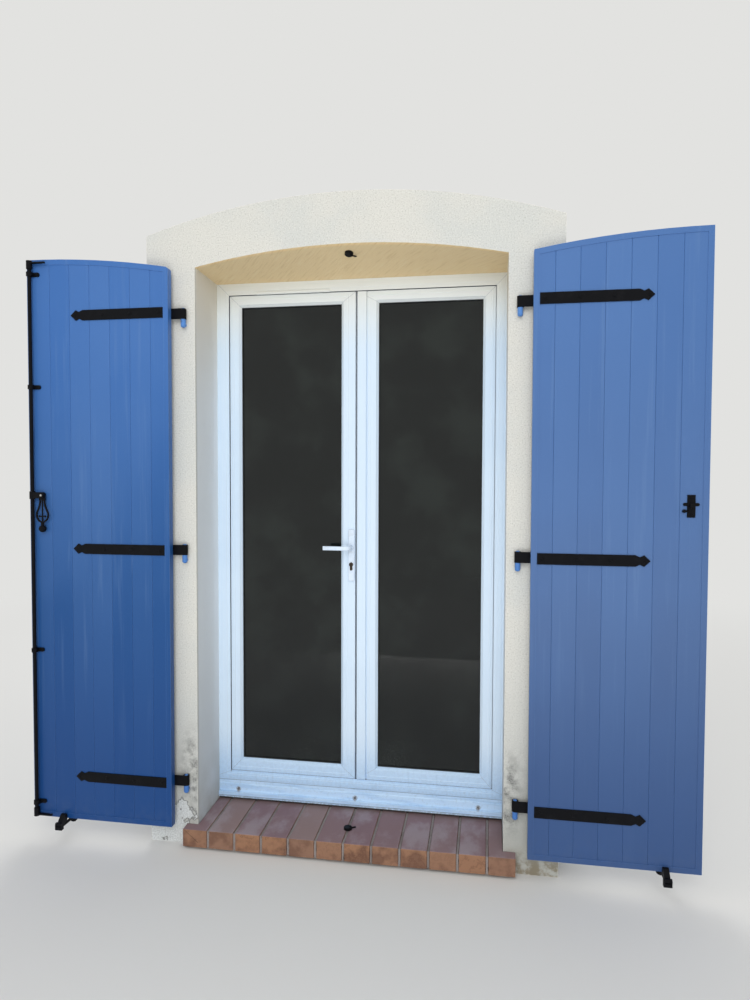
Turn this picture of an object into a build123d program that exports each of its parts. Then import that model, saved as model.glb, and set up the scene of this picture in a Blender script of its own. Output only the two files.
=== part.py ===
from build123d import *
import os
from math import atan2, degrees, sqrt
from typing import NamedTuple

# An arched French window in a rendered stone surround, with a brick sill, a white two-leaf window
# that opens into the room, and two boarded shutters folded back flat on the wall, on strap hinges,
# with an espagnolette and a hold-back each.
# X runs right along the wall, Y into the wall and Z up, all in millimetres. The origin is on the
# underside of the mortar bed, in the middle of the opening, level with the front of the surround.

os.makedirs("parts", exist_ok=True)

LEFT, RIGHT = -1, 1
SIDE_NAME = {LEFT: "left", RIGHT: "right"}

# Rendered surround
OPENING_WIDTH = 1200
SPRING_HEIGHT = 2283
ARCH_RISE = 63
BAND_WIDTH = 200
BAND_LIFT = 129
BAND_RISE = 127
SURROUND_DEPTH = 225
SOFFIT_FALL = 7

# Brick sill on its mortar
BED_THICKNESS = 10
BED_RECESS = 20
BRICK_COUNT = 12
BRICK_HEIGHT = 70
BRICK_JOINT = 9.5
JOINT_RECESS = 3
SILL_NOSE = 45
SILL_EAR = 45
SILL_SLOPE = 0.03
REVEAL_CLEARANCE = 1
UPSTAND_DEPTH = 75

# Fixed frame of the window
FRAME_SHIFT = 6
SIDE_SHOW = 46
HEAD_SHOW = 47
FRAME_FACE = 86
RAIL_FACE = 35
RAIL_BEVEL = 9
FRAME_DEPTH = 60
FLANGE_THICKNESS = 20
REBATE = 20
VENT_LENGTH = 318
VENT_HEIGHT = 12
VENT_DEPTH = 6
VENT_BEVEL = 2
VENT_OFFSET = 277
VENT_OVERHANG = 2

# Threshold under the frame
THRESHOLD_LIFT = 3.9
THRESHOLD_HEIGHT = 79
DRIP_REACH = 12
DRIP_LIFT = 5
DRIP_HEIGHT = 21
DRIP_FALL = 3
RIDGE_HEIGHT = 56.6
RIDGE_STEP = 3
SCREW_SPACING = 509
SCREW_SHIFT = -5
SCREW_RISE = 37
SCREW_HEAD_RADIUS = 4
SCREW_SHAFT_RADIUS = 2.5
SCREW_POCKET_RADIUS = 6
SCREW_POCKET_DEPTH = 4
SCREW_HEAD_HEIGHT = 3
SCREW_LENGTH = 40

# Opening leaves
FRAME_GAP = 3
LEAF_SETBACK = 5
LEAF_FACE_DEPTH = 18
LEAF_CORE_DEPTH = 40
LEAF_LIP_DEPTH = 12
CORE_LAP = 20
LIP_LAP = 13
MEETING_SHIFT = -3
MEETING_GAP = 8
HINGE_STILE = 48
MEETING_STILE = {LEFT: 60, RIGHT: 87}
TOP_RAIL = 46
BOTTOM_RAIL = 52.5
GLASS_BEVEL = 10
GLASS_LIP_DEPTH = 20
GLASS_REBATE = 15
PANE_EDGE_GAP = 3
PANE_THICKNESS = 4
PANE_CAVITY = 16
SPACER_WIDTH = 12
SPACER_SHOW = 2
GASKET_SHOW = 3
GASKET_SEAT = 8
GASKET_SKIN = 1
GASKET_DEPTH = 5
BEAD_SHOW = 3
BEAD_BEVEL = 8
BEAD_GAP = 0.2
SEAL_GAP = 0.3
SEAL_INSET = 4
SEAL_WIDTH = 8
ASTRAGAL_WIDTH = 37
ASTRAGAL_GROOVE = 6
ASTRAGAL_DEPTH = 8
ASTRAGAL_PROUD = 2
ASTRAGAL_BEVEL = 1.5
MEETING_SEAL_REACH = 3
MEETING_SEAL_THICKNESS = 12
MEETING_SEAL_DEPTH = 20

# Leaf hinges and wall anchors
HINGE_OUT = 9
KNUCKLE_RADIUS = 8
KNUCKLE_LENGTH = 45
KNUCKLE_GAP = 0.5
LEAF_PIN_RADIUS = 4
LEAF_PIN_PLAY = 0.05
HINGE_PLATE_THICKNESS = 4
LEAF_PLATE_WIDTH = 40
FRAME_PLATE_WIDTH = 34
WEB_WIDTH = 11
LOW_HINGE = 141
HIGH_HINGE = 140
ANCHOR_THICKNESS = 2
ANCHOR_HEIGHT = 30
ANCHOR_LENGTH = 120
ANCHOR_LAP = 45
ANCHOR_HOLE_RADIUS = 4
ANCHOR_HOLES = (75, 105)
ANCHOR_END = 150

# Lever handle and lock of the left leaf
HANDLE_INSET = 15
HANDLE_RISE = 970
PLATE_WIDTH = 26
PLATE_HEIGHT = 215
PLATE_THICKNESS = 8
PLATE_TOP = 76
PLATE_CORNER = 6
PLATE_BEVEL = 1.5
NECK_RADIUS = 9
NECK_PLAY = 0.1
NECK_SEAT = 4
NECK_LENGTH = 18
LEVER_REACH = 50
LEVER_LENGTH = 109
GRIP_THICKNESS = 12
GRIP_HEIGHT = 17
GRIP_CORNER = 4
GRIP_BEND = 16
SPINDLE_SIDE = 8
SPINDLE_PLAY = 0.1
SPINDLE_HOLE_RADIUS = 6.5
CYLINDER_DROP = 70
CYLINDER_RADIUS = 8.5
CYLINDER_TAIL_WIDTH = 10
CYLINDER_HEIGHT = 33
CYLINDER_PROUD = 4
CYLINDER_PLAY = 0.2
CYLINDER_BORE_PLAY = 0.6
KEYWAY_WIDTH = 2.4
KEYWAY_HEIGHT = 9
KEYWAY_DEPTH = 6
FACEPLATE_WIDTH = 20
FACEPLATE_THICKNESS = 3
FACEPLATE_END = 90

# Shutter panels, drawn folded back on the wall
PINTLE_OFFSET = 41.5
PINTLE_STANDOFF = 15
PANEL_CLEARANCE = 3
SHUTTER_GAP = 5
WALL_CLEARANCE = 25
EDGE_WALL = 2
EDGE_LIP = 20
BOARD_THICKNESS = 26
BOARD_FIT = 0.2
PANEL_LIFT = 5.9
HEAD_CLEARANCE = 10.5
SHUTTER_RISE = 52.5
PANEL_CORNER = {LEFT: 12, RIGHT: 4}
FIRST_BOARD = 74
BOARD_PITCH = 85
BOARD_JOINTS = 6
JOINT_GAP = 0.3
TONGUE_LENGTH = 6
TONGUE_THICKNESS = 8
GROOVE_WIDTH = 3
GROOVE_DEPTH = 1.5
BOARD_WALL = 1.8

# Strap hinges, counter plates, their bolts and the pintles
STRAP_HEIGHT = 40
STRAP_THICKNESS = 5
STRAP_ROUND = 14
STRAP_KNUCKLE_RADIUS = 12
LOW_STRAP = 176
HIGH_STRAP = 171.5
PINTLE_RADIUS = 7
RUNNING_PLAY = 0.08
STRAP_PLAY = 0.3
PINTLE_BODY_RADIUS = 10
PINTLE_BODY_HEIGHT = 32
PINTLE_FOOT_ROUND = 8
PINTLE_DOME = 3
SHANK_DROP = 20
SHANK_DEPTH = 80
HOLE_PLAY = 0.1
COUNTER_PLATE_GAP = 1.5
COUNTER_PLATE_LENGTH = 384.5
COUNTER_PLATE_THICKNESS = 4
LANCE_POINT = 21
LANCE_WAIST = 35
LANCE_SHOULDER = 50
LANCE_WAIST_HALF = 13
BOLT_STEPS = (18, 136, 252, 370)
BOLT_HEAD_RADIUS = 7
BOLT_HEAD_HEIGHT = 4
BOLT_RADIUS = 3
BOLT_PLAY = 0.1
NUT_HEIGHT = 5
NUT_RADIUS = 5.5
BOLT_END_SHOW = 2

# Espagnolette of the left shutter
ROD_RADIUS = 7
ROD_INSET = 19.5
ROD_STANDOFF = 13
ROD_END_MARGIN = 7
SLEEVE_PLAY = 0.02
GUIDE_RADIUS = 11.5
GUIDE_HEIGHT = 16
GUIDE_FOOT_REACH = 35
GUIDE_FOOT_THICKNESS = 5
GUIDE_ROUND = 7
GUIDE_SCREW_REACH = 28
LOW_GUIDES = (62, 683)
HIGH_GUIDES = (502, 59)
SMALL_SCREW_HEAD_RADIUS = 4.5
SMALL_SCREW_HEAD_HEIGHT = 2.5
SMALL_SCREW_RADIUS = 2
SMALL_SCREW_LENGTH = 12
SMALL_SCREW_TAPER = 30
SLEEVE_RADIUS = 11
HOOK_SLEEVE_HEIGHT = 32
HORN_THICKNESS = 5
HORN_SETBACK = 6.5
HORN_LENGTH = 68
HORN_ROOT_RADIUS = 8
HORN_TIP_RADIUS = 6
HORN_BITE_RADIUS = 5
LUG_RISE = 1306
LUG_REACH = 43
LUG_HEIGHT = 24
LUG_SLEEVE_HEIGHT = 30
CHEEK_THICKNESS = 4.3
CHEEK_GAP = 0.3
CHEEK_THROAT = 13
RIVET_RADIUS = 3
RIVET_PLAY = 0.05
RIVET_HEAD_RADIUS = 5
RIVET_HEAD_HEIGHT = 2.5
RIVET_TAPER = 20

# Lyre handle of the espagnolette
LYRE_BAR = 3.7
LYRE_EYE_RADIUS = 10
LYRE_SPLIT = 16
LYRE_SPLIT_HALF = 9
LYRE_WIDEST = 78
LYRE_HALF_WIDTH = 25
LYRE_CLOSE = 108
SCROLL_DROP = 84
SCROLL_REACH = 12
SCROLL_RADIUS = 4
SCROLL_BAR_RADIUS = 2.7
DROP_CENTRE = 133
DROP_RADIUS = 14.5
DROP_NECK_RADIUS = 6

# Keeper of the lyre handle, on the right shutter
KEEPER_INSET = 58.5
KEEPER_THICKNESS = 3
KEEPER_WIDTH = 27
KEEPER_ABOVE = 20
KEEPER_BELOW = 58
KEEPER_ARM = 27
KEEPER_ARM_HEIGHT = 11
KEEPER_SCREW_MARGIN = 9
TRAY_HALF_WIDTH = 8
TRAY_THICKNESS = 4
TRAY_LIP_HEIGHT = 9
REST_GAP = 0.5

# Stops on the sill and in the head
STOP_SETBACK = 57
STOP_RADIUS = 16.5
STOP_HEIGHT = 10
STOP_SHANK_SIDE = 8
STOP_SHANK_LENGTH = 35
STOP_SEAT_GAP = 0.1
STOP_PEG_RADIUS = 3.5
STOP_PEG_HEIGHT = 4
STOP_PEG_REACH = 9
STOP_BEVEL = 2

# Hold-backs in the wall below each shutter
HOLDBACK_INSET = {LEFT: 136.5, RIGHT: 122.5}
NOSE_PIVOT_OUT = 41
NOSE_PIVOT_DROP = 8
NOSE_WIDTH = 20
NOSE_PROFILE = (
    (0, 7.5),
    (5.6, 7.8),
    (6, 9),
    (24, 28),
    (33, 30),
    (39, 23),
    (40.3, 9),
    (35, 1),
    (20, -5),
    (0, -7.5),
)
NOSE_BOSS_RADIUS = 7.5
NOSE_PIN_RADIUS = 3
NOSE_PLAY = 0.3
EAR_THICKNESS = 4
HOLDBACK_ROD_RADIUS = 6
HOLDBACK_ROD_DROP = 14
HOLDBACK_SHANK = 60
ROSETTE_RADIUS = 20
ROSETTE_THICKNESS = 4


class Frame(NamedTuple):
    """Upright rectangle in a plane parallel to the wall."""

    left: float
    right: float
    bottom: float
    top: float

    def grown(self, margin):
        return Frame(self.left - margin, self.right + margin, self.bottom - margin, self.top + margin)

    def lapped(self, side, margin):
        """The rectangle widened all round, but not on the side where the two leaves meet."""
        wide = self.grown(margin)
        return wide._replace(right=self.right) if side == LEFT else wide._replace(left=self.left)

    def draw(self, mode=Mode.ADD):
        with Locations(((self.left + self.right) / 2, (self.bottom + self.top) / 2)):
            Rectangle(self.right - self.left, self.top - self.bottom, mode=mode)


def facade(y):
    """Plane parallel to the wall at depth y, seen from the front: X right, Z up."""
    return Plane(origin=(0, y, 0), x_dir=(1, 0, 0), z_dir=(0, -1, 0))


def arch_radius(half_width, rise):
    return (half_width**2 + rise**2) / (2 * rise)


def arch_height(x, half_width, spring, rise, inset=0):
    """Height at x of an arch whose middle is at x = 0, drawn inset from its edge."""
    radius = arch_radius(half_width, rise)
    return spring + rise - radius + sqrt((radius - inset) ** 2 - x**2)


def sill_top(y):
    """Height of the sloping brick top at depth y."""
    return BED_THICKNESS + BRICK_HEIGHT + SILL_SLOPE * (y + SILL_NOSE)


# Places worked out from the sizes above
opening_half = OPENING_WIDTH / 2
outer_half = opening_half + BAND_WIDTH
soffit_back = SPRING_HEIGHT - SOFFIT_FALL
sill_half = opening_half + SILL_EAR
brick_pitch = (2 * sill_half + BRICK_JOINT) / BRICK_COUNT
brick_width = brick_pitch - BRICK_JOINT
stop_seat_side = STOP_SHANK_SIDE + 2 * HOLE_PLAY

frame_front = SURROUND_DEPTH
frame_back = frame_front + FRAME_DEPTH
flange_back = frame_front + FLANGE_THICKNESS
threshold_bottom = sill_top(SURROUND_DEPTH) + THRESHOLD_LIFT
rail_bottom = threshold_bottom + THRESHOLD_HEIGHT
flange = Frame(
    FRAME_SHIFT - opening_half + SIDE_SHOW,
    FRAME_SHIFT + opening_half - SIDE_SHOW,
    rail_bottom + RAIL_FACE,
    soffit_back - HEAD_SHOW,
)
frame_outer = flange.grown(FRAME_FACE)._replace(bottom=rail_bottom)

leaf_front = frame_front + LEAF_SETBACK
core_front = leaf_front + LEAF_FACE_DEPTH
lip_front = core_front + LEAF_CORE_DEPTH
leaf_back = lip_front + LEAF_LIP_DEPTH
leaf_middle = (leaf_front + leaf_back) / 2
glass_lip_back = leaf_front + GLASS_LIP_DEPTH
pane_front = glass_lip_back + GASKET_SKIN
pane_back = pane_front + 2 * PANE_THICKNESS + PANE_CAVITY
pair = flange.grown(-FRAME_GAP)
leaves = {
    LEFT: pair._replace(right=MEETING_SHIFT - MEETING_GAP / 2),
    RIGHT: pair._replace(left=MEETING_SHIFT + MEETING_GAP / 2),
}
glass = {
    LEFT: Frame(
        leaves[LEFT].left + HINGE_STILE,
        leaves[LEFT].right - MEETING_STILE[LEFT],
        pair.bottom + BOTTOM_RAIL,
        pair.top - TOP_RAIL,
    ),
    RIGHT: Frame(
        leaves[RIGHT].left + MEETING_STILE[RIGHT],
        leaves[RIGHT].right - HINGE_STILE,
        pair.bottom + BOTTOM_RAIL,
        pair.top - TOP_RAIL,
    ),
}
lip_half = (pair.right - pair.left) / 2 + CORE_LAP + LIP_LAP
leaf_hinge_low = pair.bottom + LOW_HINGE
leaf_hinge_high = pair.top - HIGH_HINGE
leaf_hinge_heights = (leaf_hinge_low, (leaf_hinge_low + leaf_hinge_high) / 2, leaf_hinge_high)

pintle_x = opening_half + PINTLE_OFFSET
pintle_y = -PINTLE_STANDOFF
closed_hinge_edge = opening_half - PANEL_CLEARANCE
panel_hinge_edge = 2 * pintle_x - closed_hinge_edge
panel_free_edge = 2 * pintle_x - SHUTTER_GAP / 2
panel_back = -WALL_CLEARANCE
board_back = panel_back - EDGE_WALL
board_front = board_back - BOARD_THICKNESS
panel_front = board_front - EDGE_WALL
closed_inner_face = -2 * PINTLE_STANDOFF - panel_front
panel_bottom = sill_top(closed_inner_face) + PANEL_LIFT
panel_shoulder = SPRING_HEIGHT - HEAD_CLEARANCE
panel_crown = panel_shoulder + SHUTTER_RISE
strap_front = board_back
strap_back = strap_front + STRAP_THICKNESS
low_strap = panel_bottom + LOW_STRAP
high_strap = panel_shoulder - HIGH_STRAP
strap_heights = (low_strap, (low_strap + high_strap) / 2, high_strap)
board_joints = [panel_hinge_edge + FIRST_BOARD + i * BOARD_PITCH for i in range(BOARD_JOINTS)]

plate_start = panel_hinge_edge + EDGE_LIP + COUNTER_PLATE_GAP
plate_end = plate_start + COUNTER_PLATE_LENGTH
plate_front = board_front - COUNTER_PLATE_THICKNESS
bolt_places = [(plate_start + step, z) for z in strap_heights for step in BOLT_STEPS]

rod_x = panel_free_edge - ROD_INSET
rod_y = panel_front - ROD_STANDOFF
rod_bottom = panel_bottom + ROD_END_MARGIN
rod_top = panel_crown - ROD_END_MARGIN
guide_heights = [panel_bottom + rise for rise in LOW_GUIDES] + [panel_crown - drop for drop in HIGH_GUIDES]
guide_foot_front = board_front - GUIDE_FOOT_THICKNESS
guide_screw_x = rod_x - GUIDE_SCREW_REACH
rivet_x = rod_x - LUG_REACH
rivet_z = panel_bottom + LUG_RISE
cheek_inner = LYRE_BAR + CHEEK_GAP
cheek_outer = cheek_inner + CHEEK_THICKNESS

keeper_x = panel_free_edge - KEEPER_INSET
keeper_front = board_front - KEEPER_THICKNESS
keeper_screw_heights = (
    rivet_z + KEEPER_ABOVE - KEEPER_SCREW_MARGIN,
    rivet_z - KEEPER_BELOW + KEEPER_SCREW_MARGIN,
)


def head_at(x, inset=0):
    """Height of a shutter's arched top at x, drawn inset from its edge."""
    return arch_height(x - 2 * pintle_x, closed_hinge_edge, panel_shoulder, SHUTTER_RISE, inset)


def shutter_outline(inset, corner=0, mode=Mode.ADD):
    """Shutter panel seen from the front, hinge side at the left, drawn inset from its edge."""
    hinge_edge = panel_hinge_edge + inset
    free_edge = panel_free_edge - inset
    middle = (hinge_edge + free_edge) / 2
    bottom = panel_bottom + inset
    with BuildLine() as edge:
        Line((hinge_edge, bottom), (free_edge, bottom))
        Line((free_edge, bottom), (free_edge, head_at(free_edge, inset)))
        ThreePointArc(
            (free_edge, head_at(free_edge, inset)),
            (middle, head_at(middle, inset)),
            (hinge_edge, head_at(hinge_edge, inset)),
        )
        Line((hinge_edge, head_at(hinge_edge, inset)), (hinge_edge, bottom))
    outline = make_face(edge.edges(), mode=Mode.PRIVATE).face()
    if corner > 0:
        head_corner = outline.vertices().sort_by(Axis.X)[:2].sort_by(Axis.Y)[-1]
        outline = outline.fillet_2d(corner, [head_corner])
    add(outline, mode=mode)


def turn_left(side):
    """Turns a piece drawn for the right shutter into its left-hand twin."""
    if side == LEFT:
        mirror(about=Plane.YZ, mode=Mode.REPLACE)


# The surround: two legs and an arched band, cast in one, around a splayed opening
with BuildPart() as surround:
    with BuildSketch(facade(SURROUND_DEPTH)):
        with BuildLine():
            outer_spring = SPRING_HEIGHT + BAND_LIFT
            Line((-outer_half, 0), (outer_half, 0))
            Line((outer_half, 0), (outer_half, outer_spring))
            outer_crown = outer_spring + BAND_RISE
            ThreePointArc((outer_half, outer_spring), (0, outer_crown), (-outer_half, outer_spring))
            Line((-outer_half, outer_spring), (-outer_half, 0))
        make_face()
    extrude(amount=SURROUND_DEPTH)
    with BuildSketch(facade(0)):
        with BuildLine():
            Line((-opening_half, 0), (opening_half, 0))
            Line((opening_half, 0), (opening_half, SPRING_HEIGHT))
            ThreePointArc(
                (opening_half, SPRING_HEIGHT), (0, SPRING_HEIGHT + ARCH_RISE), (-opening_half, SPRING_HEIGHT)
            )
            Line((-opening_half, SPRING_HEIGHT), (-opening_half, 0))
        make_face()
    with BuildSketch(facade(SURROUND_DEPTH)):
        Frame(-opening_half, opening_half, 0, soffit_back).draw()
    loft(ruled=True, mode=Mode.SUBTRACT)
    for side in (LEFT, RIGHT):
        with BuildSketch(facade(SHANK_DEPTH)):
            with Locations(*[(side * pintle_x, z - STRAP_HEIGHT / 2 - SHANK_DROP) for z in strap_heights]):
                Circle(PINTLE_RADIUS + HOLE_PLAY)
        extrude(amount=SHANK_DEPTH, mode=Mode.SUBTRACT)
    arch_slope = (ARCH_RISE + SOFFIT_FALL) / SURROUND_DEPTH
    soffit_point = (0, STOP_SETBACK, SPRING_HEIGHT + ARCH_RISE - arch_slope * STOP_SETBACK)
    soffit = Plane(origin=soffit_point, x_dir=(1, 0, 0), z_dir=(0, -arch_slope, -1))
    with BuildSketch(soffit.offset(STOP_HEIGHT)):
        Rectangle(stop_seat_side, stop_seat_side)
    extrude(amount=-STOP_HEIGHT - STOP_SHANK_LENGTH - STOP_SEAT_GAP, mode=Mode.SUBTRACT)

surround.part.label = "surround"
export_step(surround.part, "parts/surround.step")


def sill_section(front, back, bottom, drop=0):
    """Section of the sill across the wall, its top the brick slope lowered by drop."""
    back_top = sill_top(back) - drop
    front_top = sill_top(front) - drop
    Polygon((front, bottom), (back, bottom), (back, back_top), (front, front_top), align=None)


# The sill: bricks on edge, notched at both ends round the legs of the surround
with BuildPart() as sill_bricks:
    for i in range(BRICK_COUNT):
        with BuildSketch(Plane.YZ.offset(-sill_half + i * brick_pitch)):
            sill_section(-SILL_NOSE, SURROUND_DEPTH, BED_THICKNESS)
        extrude(amount=brick_width)
    with BuildSketch(Plane.XY.offset(BED_THICKNESS)):
        for side in (LEFT, RIGHT):
            with Locations((side * (opening_half - REVEAL_CLEARANCE + SILL_EAR), SURROUND_DEPTH / 2)):
                Rectangle(2 * SILL_EAR, SURROUND_DEPTH)
        with Locations((0, STOP_SETBACK)):
            Rectangle(stop_seat_side, stop_seat_side)
    extrude(amount=2 * BRICK_HEIGHT, mode=Mode.SUBTRACT)

sill_bricks.part.label = "sill_bricks"
export_step(sill_bricks.part, "parts/sill_bricks.step")

# Mortar: the bed, the joints between the bricks and the upstand that carries the threshold
with BuildPart() as sill_mortar:
    with BuildSketch(Plane.XY):
        Frame(-sill_half + BED_RECESS, sill_half - BED_RECESS, -SILL_NOSE + BED_RECESS, 0).draw()
        Frame(-opening_half, opening_half, 0, SURROUND_DEPTH).draw()
        Frame(frame_outer.left, frame_outer.right, SURROUND_DEPTH, SURROUND_DEPTH + UPSTAND_DEPTH).draw()
    extrude(amount=BED_THICKNESS)
    with BuildSketch(Plane.XY):
        Frame(frame_outer.left, frame_outer.right, SURROUND_DEPTH, SURROUND_DEPTH + UPSTAND_DEPTH).draw()
    extrude(amount=threshold_bottom)
    for i in range(1, BRICK_COUNT):
        with BuildSketch(Plane.YZ.offset(-sill_half + i * brick_pitch - BRICK_JOINT)):
            sill_section(JOINT_RECESS - SILL_NOSE, SURROUND_DEPTH, 0, drop=JOINT_RECESS)
        extrude(amount=BRICK_JOINT)
    with BuildSketch(Plane.XY.offset(sill_top(STOP_SETBACK) - STOP_SHANK_LENGTH)):
        with Locations((0, STOP_SETBACK)):
            Rectangle(stop_seat_side, stop_seat_side)
    extrude(amount=2 * BRICK_HEIGHT, mode=Mode.SUBTRACT)

sill_mortar.part.label = "sill_mortar"
export_step(sill_mortar.part, "parts/sill_mortar.step")

# The fixed frame: a deep ring, its front flange narrower than the rebate that the leaves close into
with BuildPart() as door_frame:
    with BuildSketch(facade(frame_back)):
        frame_outer.draw()
        flange.draw(mode=Mode.SUBTRACT)
    extrude(amount=FRAME_DEPTH)
    front_face = door_frame.faces().filter_by(Axis.Y).sort_by(Axis.Y)[0]
    chamfer(front_face.inner_wires()[0].edges().sort_by(Axis.Z)[0], RAIL_BEVEL)
    with BuildSketch(facade(frame_back)):
        flange.grown(REBATE).draw()
    extrude(amount=frame_back - flange_back, mode=Mode.SUBTRACT)

door_frame.part.label = "door_frame"
export_step(door_frame.part, "parts/door_frame.step")

# Slim hood over the ventilation slot in the head, left of the middle
with BuildPart() as trickle_vent:
    with BuildSketch(facade(frame_front)):
        with Locations((FRAME_SHIFT - VENT_OFFSET, flange.top - VENT_OVERHANG + VENT_HEIGHT / 2)):
            SlotOverall(VENT_LENGTH, VENT_HEIGHT)
    extrude(amount=VENT_DEPTH)
    chamfer(trickle_vent.faces().sort_by(Axis.Y)[0].edges(), VENT_BEVEL)

trickle_vent.part.label = "trickle_vent"
export_step(trickle_vent.part, "parts/trickle_vent.step")

# Seal round the rebate, on the back of the flange
with BuildPart() as frame_gasket:
    with BuildSketch(facade(core_front - SEAL_GAP)):
        flange.grown(SEAL_INSET + SEAL_WIDTH).draw()
        flange.grown(SEAL_INSET).draw(mode=Mode.SUBTRACT)
    extrude(amount=core_front - SEAL_GAP - flange_back)

frame_gasket.part.label = "frame_gasket"
export_step(frame_gasket.part, "parts/frame_gasket.step")

# Threshold: a deep sill profile with a ridge and a drip nose over the bricks
ridge = threshold_bottom + RIDGE_HEIGHT
screw_places = [(SCREW_SHIFT + step * SCREW_SPACING, threshold_bottom + SCREW_RISE) for step in (-1, 0, 1)]
with BuildPart() as threshold:
    with BuildSketch(Plane.YZ.offset(frame_outer.left)):
        Polygon(
            (frame_front, threshold_bottom),
            (frame_back, threshold_bottom),
            (frame_back, rail_bottom),
            (frame_front + RIDGE_STEP, rail_bottom),
            (frame_front + RIDGE_STEP, ridge + RIDGE_STEP),
            (frame_front, ridge),
            align=None,
        )
    extrude(amount=frame_outer.right - frame_outer.left)
    drip_bottom = threshold_bottom + DRIP_LIFT
    with BuildSketch(Plane.YZ.offset(-opening_half + REVEAL_CLEARANCE)):
        Polygon(
            (frame_front, drip_bottom),
            (frame_front - DRIP_REACH, drip_bottom),
            (frame_front - DRIP_REACH, drip_bottom + DRIP_HEIGHT),
            (frame_front, drip_bottom + DRIP_HEIGHT + DRIP_FALL),
            align=None,
        )
    extrude(amount=2 * (opening_half - REVEAL_CLEARANCE))
    with BuildSketch(facade(frame_front + SCREW_POCKET_DEPTH)):
        with Locations(*screw_places):
            Circle(SCREW_POCKET_RADIUS)
    extrude(amount=2 * SCREW_POCKET_DEPTH, mode=Mode.SUBTRACT)
    with BuildSketch(facade(frame_front + SCREW_LENGTH)):
        with Locations(*screw_places):
            Circle(SCREW_SHAFT_RADIUS)
    extrude(amount=SCREW_LENGTH, mode=Mode.SUBTRACT)

threshold.part.label = "threshold"
export_step(threshold.part, "parts/threshold.step")

with BuildPart() as threshold_screws:
    with BuildSketch(facade(frame_front + SCREW_POCKET_DEPTH)):
        with Locations(*screw_places):
            Circle(SCREW_HEAD_RADIUS)
    extrude(amount=SCREW_HEAD_HEIGHT)
    with BuildSketch(facade(frame_front + SCREW_LENGTH)):
        with Locations(*screw_places):
            Circle(SCREW_SHAFT_RADIUS)
    extrude(amount=SCREW_LENGTH - SCREW_POCKET_DEPTH)

threshold_screws.part.label = "threshold_screws"
export_step(threshold_screws.part, "parts/threshold_screws.step")


def leaf_axis_x(side):
    """Place of a leaf's hinge axis, just outside the edge of its lip."""
    return FRAME_SHIFT + side * (lip_half + HINGE_OUT)


# Frame halves of the leaf hinges: a lower knuckle with its pin, on a plate on the frame
with BuildPart() as frame_hinge_halves:
    for side in (LEFT, RIGHT):
        axis = leaf_axis_x(side)
        for z in leaf_hinge_heights:
            with BuildSketch(Plane.XY.offset(z - KNUCKLE_LENGTH)):
                with Locations((axis, leaf_back)):
                    Circle(KNUCKLE_RADIUS)
                web_near = axis - side * WEB_WIDTH / 2
                web_far = axis + side * WEB_WIDTH / 2
                Frame(min(web_near, web_far), max(web_near, web_far), frame_back, leaf_back).draw()
                plate_far = axis + side * FRAME_PLATE_WIDTH
                plate_top = frame_back + HINGE_PLATE_THICKNESS
                Frame(min(web_near, plate_far), max(web_near, plate_far), frame_back, plate_top).draw()
            extrude(amount=KNUCKLE_LENGTH - KNUCKLE_GAP / 2)
            with BuildSketch(Plane.XY.offset(z - KNUCKLE_GAP / 2)):
                with Locations((axis, leaf_back)):
                    Circle(LEAF_PIN_RADIUS)
            extrude(amount=KNUCKLE_LENGTH)

frame_hinge_halves.part.label = "frame_hinge_halves"
export_step(frame_hinge_halves.part, "parts/frame_hinge_halves.step")

# Anchor straps on the outside of the frame, with two bolt holes each behind it
anchor_low = frame_outer.bottom + ANCHOR_END
anchor_high = frame_outer.top - ANCHOR_END
with BuildPart() as frame_anchors:
    for face, outward in ((frame_outer.left, LEFT), (frame_outer.right, RIGHT)):
        with BuildSketch(Plane.YZ.offset(face)):
            for z in (anchor_low, (anchor_low + anchor_high) / 2, anchor_high):
                start = frame_back - ANCHOR_LAP
                Frame(start, start + ANCHOR_LENGTH, z - ANCHOR_HEIGHT / 2, z + ANCHOR_HEIGHT / 2).draw()
                with Locations(*[(start + step, z) for step in ANCHOR_HOLES]):
                    Circle(ANCHOR_HOLE_RADIUS, mode=Mode.SUBTRACT)
        extrude(amount=outward * ANCHOR_THICKNESS)

frame_anchors.part.label = "frame_anchors"
export_step(frame_anchors.part, "parts/frame_anchors.step")

handle_x = leaves[LEFT].right - HANDLE_INSET
handle_z = pair.bottom + HANDLE_RISE
faceplate_middle = leaf_middle
faceplate = Frame(
    faceplate_middle - FACEPLATE_WIDTH / 2,
    faceplate_middle + FACEPLATE_WIDTH / 2,
    pair.bottom + FACEPLATE_END,
    pair.top - FACEPLATE_END,
)


def lock_profile(margin):
    """Keyhole-shaped section of the lock cylinder, grown by margin."""
    cylinder_z = handle_z - CYLINDER_DROP
    tail_radius = CYLINDER_TAIL_WIDTH / 2
    tail_z = cylinder_z + CYLINDER_RADIUS - CYLINDER_HEIGHT + tail_radius
    with Locations((handle_x, cylinder_z)):
        Circle(CYLINDER_RADIUS + margin)
    Frame(handle_x - tail_radius, handle_x + tail_radius, tail_z, cylinder_z).grown(margin)._replace(
        bottom=tail_z
    ).draw()
    with Locations((handle_x, tail_z)):
        Circle(tail_radius + margin)


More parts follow.
